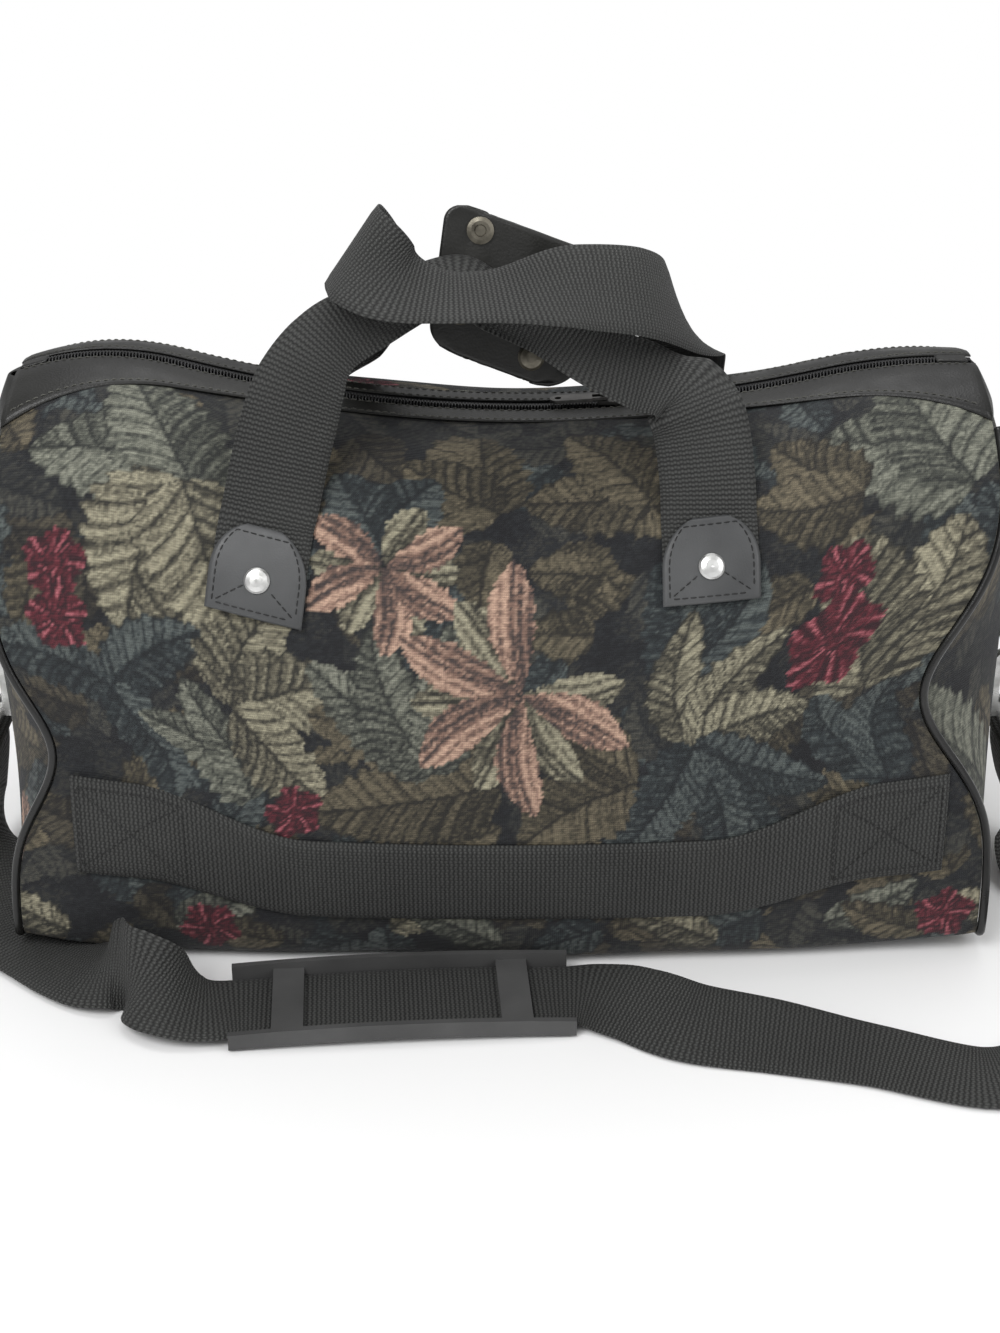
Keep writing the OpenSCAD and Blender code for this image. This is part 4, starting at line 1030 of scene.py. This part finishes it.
# Leather wrap, stiff with a little curl at its free edges
def wrap_skin(u, w):
    u, w = both(u, w)
    share = np.where(u < 0, WRAP_FOOT[0], WRAP_FOOT[1])
    half = WRAP_L / 2 * (share + (1 - share) * w)
    round_off = np.maximum(0, np.abs(2 * w - 1) - 0.72) / 0.28
    a = u * (half - WRAP_ROUND * (1 - np.sqrt(np.maximum(0, 1 - round_off ** 2))))
    b = WRAP_W * (w - 0.5) * (1 - 0.02 * u ** 4)
    rim = np.maximum(0, np.abs(u) - 0.75) / 0.25
    curl = 1.1 * rim * np.sin(3 * w + 1.2 * np.sign(u)) + 0.25 * np.sin(7 * u + 4 * w)
    return wrap_point(a, b, curl * (1 - np.exp(-((np.abs(u) - 0.62) / 0.12) ** 2)))


points, faces = slab(wrap_skin, np.linspace(-1, 1, 81), np.linspace(0, 1, 61), -WRAP_T / 2, WRAP_T / 2)
make("wrap_hide", points, faces, LEATHER, replaces=["handle_wrap"])


# Webbing loops of the D rings and of the strap's two ends
def hung(side, x0, z0, path):
    """Stations of webbing whose width runs front to back, at steps out from an end of the bag and up."""
    middle = WAY[side] * (pivot_x(side) + x0)
    return [[np.array([middle + x, 0, z0 + z]), np.array([0, 1, 0])] for x, z in path]


LOOP_T, EYE_LOOP_R, EYE_BAR_UP = WEB_T * 0.96, 2.95, 1.7
for side, name in enumerate(SIDES):
    r = LOOP_R + WEB_T / 2
    inner = WEB_T - r
    path = [(-r, 25), (-r, 12), (-r, 4)]
    path += [(r * math.cos(t), r * math.sin(t)) for t in np.radians(np.arange(180, 460, 20))]
    path += [(inner, 7), (inner, 14), (inner, 22)]
    path = [(WAY[side] * x, z) for x, z in path]
    points, faces, uv = ribbon(hung(side, 0, RING_Z, path), LOOP_W, LOOP_T, 4)
    make("ring_webbing_" + name, points, faces, WEBBING, replaces=["ring_loop_" + name],
         uv=uv)
    turns = np.radians(np.arange(210, -31, -30))
    path = [(EYE_LOOP_R * math.cos(t), EYE_LOOP_R * math.sin(t)) for t in turns]
    bar_z = RING_Z + HOOK_Z + EYE_LOW + EYE_BAR_UP
    points, faces, uv = ribbon(hung(side, HOOK_X, bar_z, path), WEB_W, LOOP_T, 5)
    make("strap_loop_" + name, points, faces, WEBBING, body="eye_" + name, uv=uv)


# CAD nodes that are shown, with their finish, softened edges and smooth shading up to a sharp edge
def shading_group():
    group = bpy.data.node_groups.new("smooth_to_edges", "GeometryNodeTree")
    for way in ("INPUT", "OUTPUT"):
        group.interface.new_socket("Geometry", in_out=way, socket_type="NodeSocketGeometry")
    start, end = group.nodes.new("NodeGroupInput"), group.nodes.new("NodeGroupOutput")
    faces, edges = (group.nodes.new("GeometryNodeSetShadeSmooth") for _ in range(2))
    edges.domain = "EDGE"
    angle, low = group.nodes.new("GeometryNodeInputMeshEdgeAngle"), group.nodes.new("FunctionNodeCompare")
    low.operation = "LESS_THAN"
    low.inputs[1].default_value = math.radians(35)
    group.links.new(start.outputs[0], faces.inputs[0])
    group.links.new(faces.outputs[0], edges.inputs[0])
    group.links.new(angle.outputs[0], low.inputs[0])
    group.links.new(low.outputs[0], edges.inputs["Shade Smooth"])
    group.links.new(edges.outputs[0], end.inputs[0])
    return group


smooth_to_edges = shading_group()
FINISHES = [("base_board", BOARD, 0.3), ("tab_rivets", NICKEL, 0), ("wrap_snaps", ANTIQUE, 0.15),
            ("shoulder_pad", PLASTIC, 0.6)]
for name in SIDES:
    FINISHES += [("slider_" + name, ZIP_METAL, 0.3), ("pull_" + name, ZIP_METAL, 0.3),
                 ("d_ring_" + name, HARDWARE, 0), ("hook_" + name, HARDWARE, 0.5),
                 ("hook_gate_" + name, HARDWARE, 0.3), ("swivel_eye_" + name, HARDWARE, 0.5)]
for node, material, edge in FINISHES:
    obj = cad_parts[node]
    obj.data.materials.clear()
    obj.data.materials.append(material)
    if edge:
        bevel = obj.modifiers.new("edge", "BEVEL")
        bevel.width = edge * MM
        bevel.segments = 2
        bevel.limit_method = "ANGLE"
    obj.modifiers.new("shading", "NODES").node_group = smooth_to_edges

# Floor and light
FLOOR_HALF, FLOOR_Z = 4, -0.0002
floor_mesh = bpy.data.meshes.new("floor")
corners = [(x * FLOOR_HALF, y * FLOOR_HALF, FLOOR_Z) for x, y in ((-1, -1), (1, -1), (1, 1), (-1, 1))]
floor_mesh.from_pydata(corners, [], [(0, 1, 2, 3)])
floor = bpy.data.objects.new("floor", floor_mesh)
bpy.context.collection.objects.link(floor)
paper = Cloth("paper")
paper.set(Base_Color=(0.9, 0.9, 0.9), Roughness=0.9)
away = paper.node("ShaderNodeVectorMath", {0: paper.place()}, operation="LENGTH").outputs["Value"]
seen = paper.node("ShaderNodeLightPath").outputs["Is Camera Ray"]
glow = paper.node("ShaderNodeEmission", {"Color": (1.0, 1.0, 1.0), "Strength": 1.0}).outputs[0]
whiten = paper.math("MULTIPLY", seen, paper.ramp(away, 0.28, 0.62))
blend = paper.node("ShaderNodeMixShader", {0: whiten, 1: paper.shader.outputs[0], 2: glow})
output = next(n for n in paper.tree.nodes if n.type == "OUTPUT_MATERIAL")
paper.put(output.inputs[0], blend.outputs[0])
floor_mesh.materials.append(paper.material)


def lamp(name, size, power, at, to):
    light = bpy.data.lights.new(name, "AREA")
    light.size = size
    light.energy = power
    obj = bpy.data.objects.new(name, light)
    obj.location = at
    obj.rotation_euler = (Vector(to) - Vector(at)).to_track_quat("-Z", "Y").to_euler()
    bpy.context.collection.objects.link(obj)


lamp("key", 0.9, 20, (-0.7, -1.1, 1.5), (0, 0, 0.12))
lamp("fill", 1.2, 9, (1.2, -0.9, 1.0), (0, 0, 0.12))
lamp("top", 1.2, 9, (0, 0.5, 1.6), (0, 0, 0.2))
world = bpy.data.worlds.new("studio")
bpy.context.scene.world = world
world.use_nodes = True
tree = world.node_tree
shade = tree.nodes["Background"]
path = tree.nodes.new("ShaderNodeLightPath")
level = tree.nodes.new("ShaderNodeMapRange")
level.inputs[3].default_value = 0.45
level.inputs[4].default_value = 1.0
tree.links.new(path.outputs["Is Camera Ray"], level.inputs[0])
shade.inputs[0].default_value = (1, 1, 1, 1)
tree.links.new(level.outputs[0], shade.inputs[1])
bpy.context.scene.view_settings.view_transform = "Standard"
